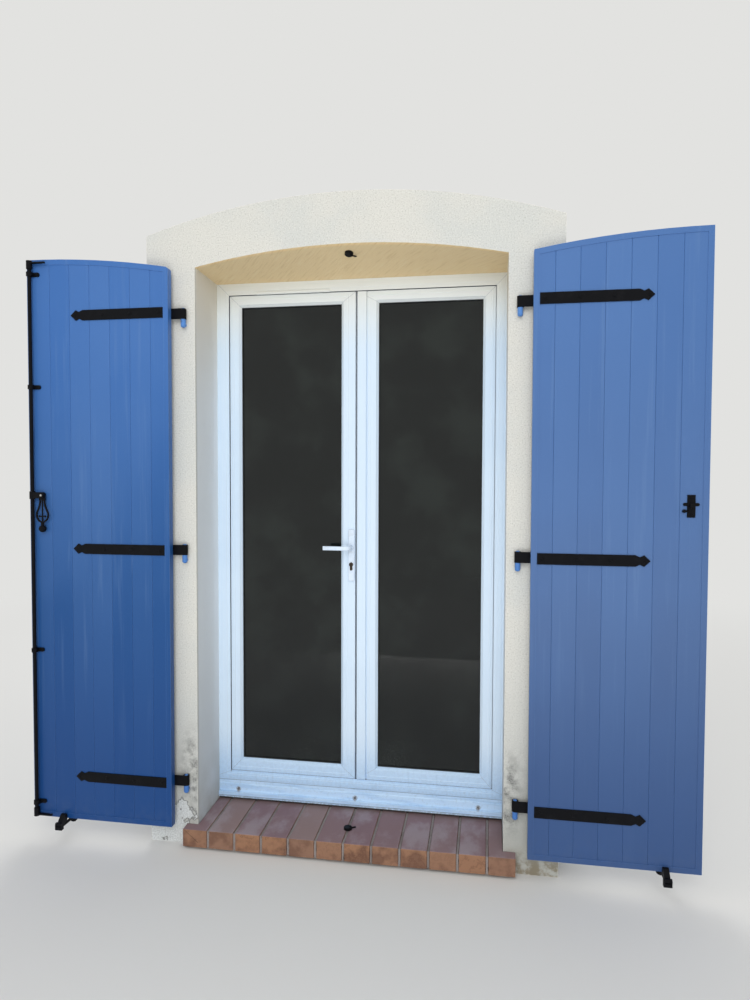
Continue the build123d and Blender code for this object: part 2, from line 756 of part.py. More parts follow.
for side in (LEFT, RIGHT):
    name = SIDE_NAME[side]
    leaf = leaves[side]
    pane = glass[side]

    # Sash: three steps deep, so that it closes into the rebate and laps the frame inside
    with BuildPart() as sash:
        for front, back, lap in (
            (leaf_front, core_front, 0),
            (core_front, lip_front, CORE_LAP),
            (lip_front, leaf_back, CORE_LAP + LIP_LAP),
        ):
            with BuildSketch(facade(back)):
                leaf.lapped(side, lap).draw()
            extrude(amount=back - front)
        with BuildSketch(facade(leaf_back)):
            pane.draw()
        extrude(amount=leaf_back - leaf_front, mode=Mode.SUBTRACT)
        front_face = sash.faces().filter_by(Axis.Y).sort_by(Axis.Y)[0]
        chamfer(front_face.inner_wires()[0].edges(), GLASS_BEVEL)
        with BuildSketch(facade(leaf_back)):
            pane.grown(GLASS_REBATE).draw()
        extrude(amount=leaf_back - glass_lip_back, mode=Mode.SUBTRACT)
        if side == LEFT:
            with BuildSketch(facade(leaf_back)):
                with Locations((handle_x, handle_z)):
                    Circle(SPINDLE_HOLE_RADIUS)
                lock_profile(CYLINDER_BORE_PLAY)
            extrude(amount=leaf_back - leaf_front, mode=Mode.SUBTRACT)
            with BuildSketch(Plane.YZ.offset(leaf.right)):
                faceplate.draw()
            extrude(amount=-FACEPLATE_THICKNESS, mode=Mode.SUBTRACT)
        else:
            astragal_back = leaf_front + ASTRAGAL_DEPTH - ASTRAGAL_PROUD
            with BuildSketch(facade(astragal_back)):
                recess_right = leaf.left + ASTRAGAL_WIDTH + ASTRAGAL_GROOVE
                leaf._replace(right=recess_right).draw()
            extrude(amount=astragal_back - leaf_front, mode=Mode.SUBTRACT)

    sash.part.label = f"{name}_sash"
    export_step(sash.part, f"parts/{name}_sash.step")

    # Double glazing: two panes and the spacer between them
    with BuildPart() as panes:
        for front in (pane_front, pane_back - PANE_THICKNESS):
            with BuildSketch(facade(front + PANE_THICKNESS)):
                pane.grown(GLASS_REBATE - PANE_EDGE_GAP).draw()
            extrude(amount=PANE_THICKNESS)

    panes.part.label = f"{name}_panes"
    export_step(panes.part, f"parts/{name}_panes.step")

    with BuildPart() as spacer:
        with BuildSketch(facade(pane_back - PANE_THICKNESS)):
            pane.grown(SPACER_WIDTH - SPACER_SHOW).draw()
            pane.grown(-SPACER_SHOW).draw(mode=Mode.SUBTRACT)
        extrude(amount=PANE_CAVITY)

    spacer.part.label = f"{name}_spacer"
    export_step(spacer.part, f"parts/{name}_spacer.step")

    # Gasket outside the glass: a nose inside the opening and a skin under the pane
    with BuildPart() as glazing_gasket:
        with BuildSketch(facade(pane_front)):
            pane.grown(GASKET_SEAT).draw()
            pane.grown(-GASKET_SHOW).draw(mode=Mode.SUBTRACT)
        extrude(amount=GASKET_SKIN)
        with BuildSketch(facade(glass_lip_back)):
            pane.draw()
            pane.grown(-GASKET_SHOW).draw(mode=Mode.SUBTRACT)
        extrude(amount=GASKET_DEPTH)

    glazing_gasket.part.label = f"{name}_glazing_gasket"
    export_step(glazing_gasket.part, f"parts/{name}_glazing_gasket.step")

    # Glazing beads on the room side, mitred at the corners
    with BuildPart() as glazing_beads:
        outer = pane.grown(GLASS_REBATE)
        inner = pane.grown(-BEAD_SHOW)
        with BuildSketch(facade(leaf_back)):
            for z, inner_z in ((outer.bottom, inner.bottom), (outer.top, inner.top)):
                Polygon(
                    (outer.left + BEAD_GAP, z),
                    (outer.right - BEAD_GAP, z),
                    (inner.right - BEAD_GAP, inner_z),
                    (inner.left + BEAD_GAP, inner_z),
                    align=None,
                )
            for x, inner_x in ((outer.left, inner.left), (outer.right, inner.right)):
                Polygon(
                    (x, outer.bottom + BEAD_GAP),
                    (x, outer.top - BEAD_GAP),
                    (inner_x, inner.top - BEAD_GAP),
                    (inner_x, inner.bottom + BEAD_GAP),
                    align=None,
                )
        extrude(amount=leaf_back - pane_back)
        back_edges = glazing_beads.edges().filter_by(lambda edge: edge.center().Y > leaf_back - BEAD_GAP)
        middle_x = (inner.left + inner.right) / 2
        middle_z = (inner.bottom + inner.top) / 2
        reach_x = (outer.right - outer.left) / 2 - BEAD_SHOW
        reach_z = (outer.top - outer.bottom) / 2 - BEAD_SHOW
        visible_edges = [
            edge
            for edge in back_edges
            if abs(edge.center().X - middle_x) < reach_x
            and abs(edge.center().Z - middle_z) < reach_z
            and edge.length > 2 * GLASS_REBATE + 2 * BEAD_SHOW
        ]
        chamfer(visible_edges, BEAD_BEVEL)

    glazing_beads.part.label = f"{name}_glazing_beads"
    export_step(glazing_beads.part, f"parts/{name}_glazing_beads.step")

    # Leaf halves of the hinges: an upper knuckle on a plate on the leaf
    with BuildPart() as leaf_hinges:
        axis = leaf_axis_x(side)
        plate_end_x = axis - side * LEAF_PLATE_WIDTH
        for z in leaf_hinge_heights:
            with BuildSketch(Plane.XY.offset(z + KNUCKLE_GAP / 2)):
                with Locations((axis, leaf_back)):
                    Circle(KNUCKLE_RADIUS)
                plate_back = leaf_back + HINGE_PLATE_THICKNESS
                Frame(min(axis, plate_end_x), max(axis, plate_end_x), leaf_back, plate_back).draw()
                with Locations((axis, leaf_back)):
                    Circle(LEAF_PIN_RADIUS + LEAF_PIN_PLAY, mode=Mode.SUBTRACT)
            extrude(amount=KNUCKLE_LENGTH)

    leaf_hinges.part.label = f"{name}_leaf_hinges"
    export_step(leaf_hinges.part, f"parts/{name}_leaf_hinges.step")

# Cover strip over the meeting of the leaves, on the right leaf
right_leaf = leaves[RIGHT]
with BuildPart() as astragal:
    strip = right_leaf._replace(right=right_leaf.left + ASTRAGAL_WIDTH)
    with BuildSketch(facade(astragal_back)):
        strip.draw()
    extrude(amount=ASTRAGAL_DEPTH)
    front_edges = astragal.faces().sort_by(Axis.Y)[0].edges().filter_by(Axis.Z)
    chamfer(front_edges, ASTRAGAL_BEVEL)

astragal.part.label = "astragal"
export_step(astragal.part, "parts/astragal.step")

with BuildPart() as meeting_gasket:
    seal_middle = leaf_front + MEETING_SEAL_DEPTH + MEETING_SEAL_THICKNESS / 2
    with BuildSketch(Plane.XY.offset(right_leaf.bottom)):
        with Locations((right_leaf.left - MEETING_SEAL_REACH / 2, seal_middle)):
            Rectangle(MEETING_SEAL_REACH, MEETING_SEAL_THICKNESS)
    extrude(amount=right_leaf.top - right_leaf.bottom)

meeting_gasket.part.label = "meeting_gasket"
export_step(meeting_gasket.part, "parts/meeting_gasket.step")

# Lock of the left leaf: a strip in its meeting edge and the cylinder through the stile
with BuildPart() as lock_faceplate:
    with BuildSketch(Plane.YZ.offset(leaves[LEFT].right)):
        faceplate.draw()
    extrude(amount=-FACEPLATE_THICKNESS)

lock_faceplate.part.label = "lock_faceplate"
export_step(lock_faceplate.part, "parts/lock_faceplate.step")

plate_outside = leaf_front - PLATE_THICKNESS
with BuildPart() as lock_cylinder:
    cylinder_back = 2 * leaf_middle - plate_outside + CYLINDER_PROUD
    with BuildSketch(facade(cylinder_back)):
        lock_profile(0)
    extrude(amount=2 * (cylinder_back - leaf_middle))
    with BuildSketch(facade(plate_outside - CYLINDER_PROUD + KEYWAY_DEPTH)):
        with Locations((handle_x, handle_z - CYLINDER_DROP)):
            SlotOverall(KEYWAY_HEIGHT, KEYWAY_WIDTH, rotation=90)
    extrude(amount=KEYWAY_DEPTH, mode=Mode.SUBTRACT)

lock_cylinder.part.label = "lock_cylinder"
export_step(lock_cylinder.part, "parts/lock_cylinder.step")

# Long plates behind the levers, one on each face of the leaf
with BuildPart() as handle_plates:
    with BuildSketch(facade(leaf_front)):
        with Locations((handle_x, handle_z + PLATE_TOP - PLATE_HEIGHT / 2)):
            RectangleRounded(PLATE_WIDTH, PLATE_HEIGHT, PLATE_CORNER)
    extrude(amount=PLATE_THICKNESS)
    chamfer(handle_plates.faces().sort_by(Axis.Y)[0].edges(), PLATE_BEVEL)
    with BuildSketch(facade(leaf_front)):
        with Locations((handle_x, handle_z)):
            Circle(NECK_RADIUS + NECK_PLAY)
        lock_profile(CYLINDER_PLAY)
    extrude(amount=PLATE_THICKNESS, mode=Mode.SUBTRACT)
    mirror(about=facade(leaf_middle))

handle_plates.part.label = "handle_plates"
export_step(handle_plates.part, "parts/handle_plates.step")

# Lever: a round neck seated in the plate, bent into a flat grip that points at the hinges
neck_back = plate_outside + NECK_SEAT
neck_front = neck_back - NECK_LENGTH
grip_y = plate_outside - LEVER_REACH + GRIP_THICKNESS / 2
with BuildPart() as lever_outside:
    with BuildSketch(facade(neck_back)):
        with Locations((handle_x, handle_z)):
            Circle(NECK_RADIUS)
            Rectangle(SPINDLE_SIDE + 2 * SPINDLE_PLAY, SPINDLE_SIDE + 2 * SPINDLE_PLAY, mode=Mode.SUBTRACT)
    extrude(amount=NECK_LENGTH)
    with BuildLine(Plane.XY.offset(handle_z)) as grip_path:
        run_out = Line((handle_x, neck_front), (handle_x, grip_y + GRIP_BEND))
        bend = TangentArc(run_out @ 1, (handle_x - GRIP_BEND, grip_y), tangent=run_out % 1)
        Line(bend @ 1, (handle_x - LEVER_LENGTH, grip_y))
    with BuildSketch(facade(neck_front)):
        with Locations((handle_x, handle_z)):
            RectangleRounded(GRIP_THICKNESS, GRIP_HEIGHT, GRIP_CORNER)
    sweep()

lever_outside.part.label = "lever_outside"
export_step(lever_outside.part, "parts/lever_outside.step")

with BuildPart() as lever_inside:
    mirror(lever_outside.part, about=facade(leaf_middle))

lever_inside.part.label = "lever_inside"
export_step(lever_inside.part, "parts/lever_inside.step")

with BuildPart() as handle_spindle:
    spindle_front = neck_front + SPINDLE_PLAY
    with BuildSketch(facade(2 * leaf_middle - spindle_front)):
        with Locations((handle_x, handle_z)):
            Rectangle(SPINDLE_SIDE, SPINDLE_SIDE)
    extrude(amount=2 * (leaf_middle - spindle_front))

handle_spindle.part.label = "handle_spindle"
export_step(handle_spindle.part, "parts/handle_spindle.step")

# Pintles: the fixed pins that the strap hinges turn on, bent into the legs of the surround
with BuildPart() as shutter_pintles:
    for side in (LEFT, RIGHT):
        for z in strap_heights:
            body_top = z - STRAP_HEIGHT / 2 - STRAP_PLAY
            shank_z = z - STRAP_HEIGHT / 2 - SHANK_DROP
            with BuildSketch(Plane.XY.offset(body_top - PINTLE_BODY_HEIGHT)):
                with Locations((side * pintle_x, pintle_y)):
                    Circle(PINTLE_BODY_RADIUS)
            extrude(amount=PINTLE_BODY_HEIGHT)
            foot = shutter_pintles.faces(Select.LAST).filter_by(Axis.Z).sort_by(Axis.Z)[0]
            fillet(foot.edges(), PINTLE_FOOT_ROUND)
            with BuildSketch(Plane.XY.offset(body_top)):
                with Locations((side * pintle_x, pintle_y)):
                    Circle(PINTLE_RADIUS)
            extrude(amount=STRAP_HEIGHT + STRAP_PLAY + PINTLE_DOME)
            tip = shutter_pintles.faces(Select.LAST).filter_by(Axis.Z).sort_by(Axis.Z)[-1]
            fillet(tip.edges(), PINTLE_DOME)
            with BuildSketch(facade(SHANK_DEPTH)):
                with Locations((side * pintle_x, shank_z)):
                    Circle(PINTLE_RADIUS)
            extrude(amount=SHANK_DEPTH - pintle_y)

shutter_pintles.part.label = "shutter_pintles"
export_step(shutter_pintles.part, "parts/shutter_pintles.step")

# Stops that the closed shutters meet: a round buffer with a peg, on the sill and under the head
with BuildPart() as closing_stops:
    sill_stop_z = sill_top(STOP_SETBACK + STOP_RADIUS) + STOP_SEAT_GAP
    sill_stop = Plane(origin=(0, STOP_SETBACK, sill_stop_z), z_dir=(0, 0, 1))
    for seat in (sill_stop, soffit.offset(STOP_SEAT_GAP)):
        with BuildSketch(seat):
            Circle(STOP_RADIUS)
        extrude(amount=STOP_HEIGHT)
        buffer = closing_stops.faces(Select.LAST)
        chamfer(buffer.sort_by(Axis(seat.origin, seat.z_dir))[-1].edges(), STOP_BEVEL)
        with BuildSketch(seat):
            Rectangle(STOP_SHANK_SIDE, STOP_SHANK_SIDE)
        extrude(amount=-STOP_SHANK_LENGTH + 2 * STOP_SEAT_GAP)
        with BuildSketch(seat.offset(STOP_HEIGHT)):
            with Locations((STOP_PEG_REACH, 0)):
                Circle(STOP_PEG_RADIUS)
        extrude(amount=STOP_PEG_HEIGHT)

closing_stops.part.label = "closing_stops"
export_step(closing_stops.part, "parts/closing_stops.step")


def board_joint(x):
    """Plan of one joint between two boards: a V on each face and a gap round the tongue."""
    middle = (board_front + board_back) / 2
    half = TONGUE_THICKNESS / 2
    gap = JOINT_GAP
    tip = x + TONGUE_LENGTH
    Polygon(
        (x, board_front),
        (x + gap, board_front),
        (x + gap, middle - half - gap),
        (tip + gap, middle - half - gap),
        (tip + gap, middle + half + gap),
        (x + gap, middle + half + gap),
        (x + gap, board_back),
        (x, board_back),
        (x, middle + half),
        (tip, middle + half),
        (tip, middle - half),
        (x, middle - half),
        align=None,
    )
    seam = x + gap / 2
    for face, inward in ((board_front, 1), (board_back, -1)):
        Polygon(
            (seam - GROOVE_WIDTH / 2, face),
            (seam, face + inward * GROOVE_DEPTH),
            (seam + GROOVE_WIDTH / 2, face),
            align=None,
        )


def board_chambers(start, end):
    """Plan of the two hollow chambers of one board between start and end."""
    web = (start + end) / 2
    for near, far in ((start, web - BOARD_WALL / 2), (web + BOARD_WALL / 2, end)):
        Frame(near, far, board_front + BOARD_WALL, board_back - BOARD_WALL).draw()


def lance_plate(z):
    """Counter plate seen from the front, with its lance point away from the hinge."""
    half = STRAP_HEIGHT / 2
    upper = [
        (plate_end - LANCE_POINT, half),
        (plate_end - LANCE_WAIST, LANCE_WAIST_HALF),
        (plate_end - LANCE_SHOULDER, half),
        (plate_start, half),
    ]
    outline = [(plate_end, 0)] + upper + [(x, -height) for x, height in reversed(upper)]
    Polygon(*[(x, z + height) for x, height in outline], align=None)


# One bolt of the straps, on the Y axis: a domed head outside and a plain shank
with BuildPart(mode=Mode.PRIVATE) as strap_bolt:
    with BuildSketch():
        with BuildLine():
            bolt_end = strap_back + NUT_HEIGHT + BOLT_END_SHOW
            head_top = plate_front - BOLT_HEAD_HEIGHT
            Line((0, head_top), (0, bolt_end))
            Line((0, bolt_end), (BOLT_RADIUS, bolt_end))
            Line((BOLT_RADIUS, bolt_end), (BOLT_RADIUS, plate_front))
            Line((BOLT_RADIUS, plate_front), (BOLT_HEAD_RADIUS, plate_front))
            TangentArc((0, head_top), (BOLT_HEAD_RADIUS, plate_front), tangent=(1, 0))
        make_face()
    revolve(axis=Axis.Y)


def small_screws(face, places):
    """Flat-headed screws through a fitting whose front is at depth face, into the boards."""
    with BuildSketch(facade(face)) as heads:
        with Locations(*places):
            Circle(SMALL_SCREW_HEAD_RADIUS)
    extrude(heads.sketch, amount=SMALL_SCREW_HEAD_HEIGHT, taper=SMALL_SCREW_TAPER)
    with BuildSketch(facade(face + SMALL_SCREW_LENGTH)) as shanks:
        with Locations(*places):
            Circle(SMALL_SCREW_RADIUS)
    extrude(shanks.sketch, amount=SMALL_SCREW_LENGTH)


fitting_screws = {
    LEFT: [(guide_screw_x, z) for z in guide_heights],
    RIGHT: [(keeper_x, z) for z in keeper_screw_heights],
}

for side in (LEFT, RIGHT):
    name = SIDE_NAME[side]
    corner = PANEL_CORNER[side]

    # Boards: hollow extrusions, tongued and grooved, with a V at every joint
    with BuildPart() as boards:
        with BuildSketch(facade(board_back)):
            shutter_outline(EDGE_WALL + BOARD_FIT, corner - EDGE_WALL - BOARD_FIT)
        extrude(amount=BOARD_THICKNESS)
        with BuildSketch(Plane.XY.offset(panel_bottom)):
            for joint in board_joints:
                board_joint(joint)
            starts = [panel_hinge_edge + EDGE_WALL + BOARD_FIT]
            starts += [joint + TONGUE_LENGTH + 2 * JOINT_GAP for joint in board_joints]
            ends = board_joints + [panel_free_edge - EDGE_WALL - BOARD_FIT]
            for start, end in zip(starts, ends):
                board_chambers(start + BOARD_WALL, end - BOARD_WALL)
        extrude(amount=panel_crown - panel_bottom, mode=Mode.SUBTRACT)
        with BuildSketch(facade(board_back)):
            with Locations(*bolt_places):
                Circle(BOLT_RADIUS + BOLT_PLAY)
        extrude(amount=BOARD_THICKNESS, mode=Mode.SUBTRACT)
        with BuildSketch(facade(board_front + EDGE_LIP)):
            with Locations(*fitting_screws[side]):
                Circle(SMALL_SCREW_RADIUS + BOLT_PLAY)
        extrude(amount=EDGE_LIP, mode=Mode.SUBTRACT)
        turn_left(side)

    boards.part.label = f"{name}_boards"
    export_step(boards.part, f"parts/{name}_boards.step")

    # Channel all round the boards, notched behind where the straps cross it
    with BuildPart() as edge_profile:
        with BuildSketch(facade(panel_back)):
            shutter_outline(0, corner)
            shutter_outline(EDGE_LIP, mode=Mode.SUBTRACT)
        extrude(amount=panel_back - panel_front)
        with BuildSketch(facade(board_back)):
            shutter_outline(EDGE_WALL, corner - EDGE_WALL)
        extrude(amount=BOARD_THICKNESS, mode=Mode.SUBTRACT)
        with BuildSketch(facade(panel_back)):
            for z in strap_heights:
                with Locations((panel_hinge_edge + EDGE_LIP / 2, z)):
                    Rectangle(2 * EDGE_LIP, STRAP_HEIGHT + 2 * STRAP_PLAY)
        extrude(amount=EDGE_WALL, mode=Mode.SUBTRACT)
        turn_left(side)

    edge_profile.part.label = f"{name}_edge_profile"
    export_step(edge_profile.part, f"parts/{name}_edge_profile.step")

    # Strap hinges on the wall side, each with a knuckle round its pintle
    with BuildPart() as strap_hinges:
        for z in strap_heights:
            with BuildSketch(Plane.XY.offset(z - STRAP_HEIGHT / 2)):
                with Locations((pintle_x, pintle_y)):
                    Circle(STRAP_KNUCKLE_RADIUS)
                Frame(pintle_x, plate_end, strap_front, strap_back).draw()
                with Locations((pintle_x, pintle_y)):
                    Circle(PINTLE_RADIUS + RUNNING_PLAY, mode=Mode.SUBTRACT)
            extrude(amount=STRAP_HEIGHT)
        fillet(strap_hinges.edges().filter_by(Axis.Y).group_by(Axis.X)[-1], STRAP_ROUND)
        with BuildSketch(facade(strap_back)):
            with Locations(*bolt_places):
                Circle(BOLT_RADIUS + BOLT_PLAY)
        extrude(amount=STRAP_THICKNESS, mode=Mode.SUBTRACT)
        turn_left(side)

    strap_hinges.part.label = f"{name}_strap_hinges"
    export_step(strap_hinges.part, f"parts/{name}_strap_hinges.step")

    # Counter plates on the visible side, cut to a lance point
    with BuildPart() as counter_plates:
        with BuildSketch(facade(board_front)):
            for z in strap_heights:
                lance_plate(z)
            with Locations(*bolt_places):
                Circle(BOLT_RADIUS + BOLT_PLAY, mode=Mode.SUBTRACT)
        extrude(amount=COUNTER_PLATE_THICKNESS)
        turn_left(side)

    counter_plates.part.label = f"{name}_counter_plates"
    export_step(counter_plates.part, f"parts/{name}_counter_plates.step")

    with BuildPart() as strap_bolts:
        with Locations(*[(x, 0, z) for x, z in bolt_places]):
            add(strap_bolt.part)
        turn_left(side)

    strap_bolts.part.label = f"{name}_strap_bolts"
    export_step(strap_bolts.part, f"parts/{name}_strap_bolts.step")

    with BuildPart() as strap_nuts:
        with BuildSketch(facade(strap_back + NUT_HEIGHT)):
            with Locations(*bolt_places):
                RegularPolygon(NUT_RADIUS, 6)
                Circle(BOLT_RADIUS + BOLT_PLAY, mode=Mode.SUBTRACT)
        extrude(amount=NUT_HEIGHT)
        turn_left(side)

    strap_nuts.part.label = f"{name}_strap_nuts"
    export_step(strap_nuts.part, f"parts/{name}_strap_nuts.step")

# Espagnolette, drawn on the right and turned over to the left shutter

with BuildPart() as espagnolette_guides:
    for z in guide_heights:
        with BuildSketch(Plane.XY.offset(z - GUIDE_HEIGHT / 2)):
            with Locations((rod_x, rod_y)):
                Circle(GUIDE_RADIUS)
            foot_end = panel_free_edge - EDGE_LIP - COUNTER_PLATE_GAP
            Frame(rod_x - GUIDE_FOOT_REACH, foot_end, guide_foot_front, board_front).draw()
            Frame(rod_x - GUIDE_RADIUS, foot_end, rod_y, guide_foot_front).draw()
            with Locations((rod_x, rod_y)):
                Circle(ROD_RADIUS + RUNNING_PLAY, mode=Mode.SUBTRACT)
        extrude(amount=GUIDE_HEIGHT)
    fillet(espagnolette_guides.edges().filter_by(Axis.Y).group_by(Axis.X)[0], GUIDE_ROUND)
    with BuildSketch(facade(board_front)):
        with Locations(*fitting_screws[LEFT]):
            Circle(SMALL_SCREW_RADIUS + BOLT_PLAY)
    extrude(amount=GUIDE_FOOT_THICKNESS, mode=Mode.SUBTRACT)
    turn_left(LEFT)

espagnolette_guides.part.label = "espagnolette_guides"
export_step(espagnolette_guides.part, "parts/espagnolette_guides.step")

with BuildPart() as guide_screws:
    small_screws(guide_foot_front, fitting_screws[LEFT])
    turn_left(LEFT)

guide_screws.part.label = "guide_screws"
export_step(guide_screws.part, "parts/guide_screws.step")

with BuildPart() as espagnolette_rod:
    with BuildSketch(Plane.XY.offset(rod_bottom)):
        with Locations((rod_x, rod_y)):
            Circle(ROD_RADIUS)
    extrude(amount=rod_top - rod_bottom)
    turn_left(LEFT)

espagnolette_rod.part.label = "espagnolette_rod"
export_step(espagnolette_rod.part, "parts/espagnolette_rod.step")

# Hooks at both ends of the rod: a sleeve with a flat horn that points at the hinges at rest
with BuildPart() as espagnolette_hooks:
    horn_tip = rod_x - HORN_LENGTH + HORN_TIP_RADIUS
    for sleeve_z, horn_z in (
        (rod_bottom, rod_bottom + HORN_SETBACK - HORN_THICKNESS / 2),
        (rod_top - HOOK_SLEEVE_HEIGHT, rod_top - HORN_SETBACK - HORN_THICKNESS),
    ):
        with BuildSketch(Plane.XY.offset(sleeve_z)):
            with Locations((rod_x, rod_y)):
                Circle(SLEEVE_RADIUS)
        extrude(amount=HOOK_SLEEVE_HEIGHT)
        with BuildSketch(Plane.XY.offset(horn_z)):
            with Locations((rod_x, rod_y)):
                Circle(HORN_ROOT_RADIUS)
            with Locations((horn_tip, rod_y)):
                Circle(HORN_TIP_RADIUS)
            make_hull()
            with Locations((horn_tip + HORN_TIP_RADIUS, rod_y + HORN_ROOT_RADIUS)):
                Circle(HORN_BITE_RADIUS, mode=Mode.SUBTRACT)
        extrude(amount=HORN_THICKNESS)
        with BuildSketch(Plane.XY.offset(sleeve_z)):
            with Locations((rod_x, rod_y)):
                Circle(ROD_RADIUS + SLEEVE_PLAY)
        extrude(amount=HOOK_SLEEVE_HEIGHT, mode=Mode.SUBTRACT)
    turn_left(LEFT)

espagnolette_hooks.part.label = "espagnolette_hooks"
export_step(espagnolette_hooks.part, "parts/espagnolette_hooks.step")

# Lug: a sleeve on the rod with a fork that holds the handle's eye
with BuildPart() as espagnolette_lug:
    with BuildSketch(Plane.XY.offset(rivet_z - LUG_SLEEVE_HEIGHT / 2)):
        with Locations((rod_x, rod_y)):
            Circle(SLEEVE_RADIUS)
    extrude(amount=LUG_SLEEVE_HEIGHT)
    fork_end = rivet_x - LYRE_EYE_RADIUS
    with BuildSketch(Plane.XY.offset(rivet_z - LUG_HEIGHT / 2)):
        Frame(fork_end, rod_x, rod_y - cheek_outer, rod_y + cheek_outer).draw()
        Frame(fork_end, rivet_x + CHEEK_THROAT, rod_y - cheek_inner, rod_y + cheek_inner).draw(Mode.SUBTRACT)
    extrude(amount=LUG_HEIGHT)
    fillet(espagnolette_lug.edges().filter_by(Axis.Y).group_by(Axis.X)[0], LYRE_EYE_RADIUS)
    with BuildSketch(Plane.XY.offset(rivet_z - LUG_SLEEVE_HEIGHT / 2)):
        with Locations((rod_x, rod_y)):
            Circle(ROD_RADIUS + SLEEVE_PLAY)
    extrude(amount=LUG_SLEEVE_HEIGHT, mode=Mode.SUBTRACT)
    with BuildSketch(facade(rod_y + cheek_outer)):
        with Locations((rivet_x, rivet_z)):
            Circle(RIVET_RADIUS + SLEEVE_PLAY)
    extrude(amount=2 * cheek_outer, mode=Mode.SUBTRACT)
    turn_left(LEFT)

espagnolette_lug.part.label = "espagnolette_lug"
export_step(espagnolette_lug.part, "parts/espagnolette_lug.step")

with BuildPart() as handle_rivet:
    with BuildSketch(facade(rod_y + cheek_outer + RIVET_HEAD_HEIGHT)):
        with Locations((rivet_x, rivet_z)):
            Circle(RIVET_RADIUS)
    extrude(amount=2 * (cheek_outer + RIVET_HEAD_HEIGHT))
    with BuildSketch(facade(rod_y - cheek_outer)):
        with Locations((rivet_x, rivet_z)):
            Circle(RIVET_HEAD_RADIUS)
    extrude(amount=RIVET_HEAD_HEIGHT, taper=RIVET_TAPER)
    with BuildSketch(facade(rod_y + cheek_outer)):
        with Locations((rivet_x, rivet_z)):
            Circle(RIVET_HEAD_RADIUS)
    extrude(amount=-RIVET_HEAD_HEIGHT, taper=RIVET_TAPER)
    turn_left(LEFT)

handle_rivet.part.label = "handle_rivet"
export_step(handle_rivet.part, "parts/handle_rivet.step")

# Lyre handle. Each arm is two tangent arcs: a flare from the neck, then a round lobe.
lobe_drop = LYRE_CLOSE - LYRE_WIDEST
lobe_radius = (LYRE_HALF_WIDTH**2 + lobe_drop**2) / (2 * LYRE_HALF_WIDTH)
lobe_x = LYRE_HALF_WIDTH - lobe_radius
flare_drop = LYRE_WIDEST - LYRE_SPLIT
flare_run = LYRE_SPLIT_HALF - lobe_x
flare_radius = (flare_run**2 + flare_drop**2 - lobe_radius**2) / (2 * (lobe_radius - flare_run))
flare_turn = degrees(atan2(flare_drop, flare_run + flare_radius))
lobe_turn = flare_turn + degrees(atan2(lobe_drop, -lobe_x))


def lyre_half_width(drop):
    """Outer half width of the lyre at this drop below its rivet, within the flare."""
    return LYRE_SPLIT_HALF + flare_radius - sqrt(flare_radius**2 - (drop - LYRE_SPLIT) ** 2) + LYRE_BAR


with BuildPart() as espagnolette_handle:
    handle_plane = facade(rod_y)
    handle_plane.origin = (rivet_x, rod_y, rivet_z)
    with BuildLine(handle_plane) as arm:
        flare = JernArc((LYRE_SPLIT_HALF, -LYRE_SPLIT), (0, -1), flare_radius, flare_turn)
        JernArc(flare @ 1, flare % 1, lobe_radius, -lobe_turn)
    with BuildSketch(Plane(origin=arm.wire() @ 0, z_dir=arm.wire() % 0)):
        Circle(LYRE_BAR)
    sweep()
    mirror(about=Plane.YZ.offset(rivet_x))
    with BuildSketch(handle_plane.offset(LYRE_BAR)):
        Circle(LYRE_EYE_RADIUS)
        neck_half = LYRE_SPLIT_HALF + LYRE_BAR
        Frame(-neck_half, neck_half, -LYRE_SPLIT - LYRE_BAR, -LYRE_EYE_RADIUS / 2).draw()
    extrude(amount=-2 * LYRE_BAR)
    with BuildSketch(Plane.XY.offset(rivet_z - LYRE_CLOSE)):
        with Locations((rivet_x, rod_y)):
            Circle(SCROLL_BAR_RADIUS)
    extrude(amount=LYRE_CLOSE - LYRE_SPLIT)
    with Locations((rivet_x, rod_y, rivet_z - DROP_CENTRE)):
        Sphere(DROP_RADIUS)
    with BuildSketch(Plane.XY.offset(rivet_z - DROP_CENTRE)):
        with Locations((rivet_x, rod_y)):
            Circle(DROP_NECK_RADIUS)
    extrude(amount=DROP_CENTRE - LYRE_CLOSE + LYRE_BAR)
    with BuildSketch(Plane.YZ.offset(rivet_x - SCROLL_REACH)):
        with Locations((rod_y, rivet_z - SCROLL_DROP)):
            Circle(SCROLL_BAR_RADIUS)
    extrude(amount=2 * SCROLL_REACH)
    with Locations(*[(rivet_x + s * SCROLL_REACH, rod_y, rivet_z - SCROLL_DROP) for s in (-1, 1)]):
        Sphere(SCROLL_RADIUS)
    with BuildSketch(facade(rod_y + LYRE_BAR)):
        with Locations((rivet_x, rivet_z)):
            Circle(RIVET_RADIUS + RIVET_PLAY)
    extrude(amount=2 * LYRE_BAR, mode=Mode.SUBTRACT)
    turn_left(LEFT)

espagnolette_handle.part.label = "espagnolette_handle"
export_step(espagnolette_handle.part, "parts/espagnolette_handle.step")

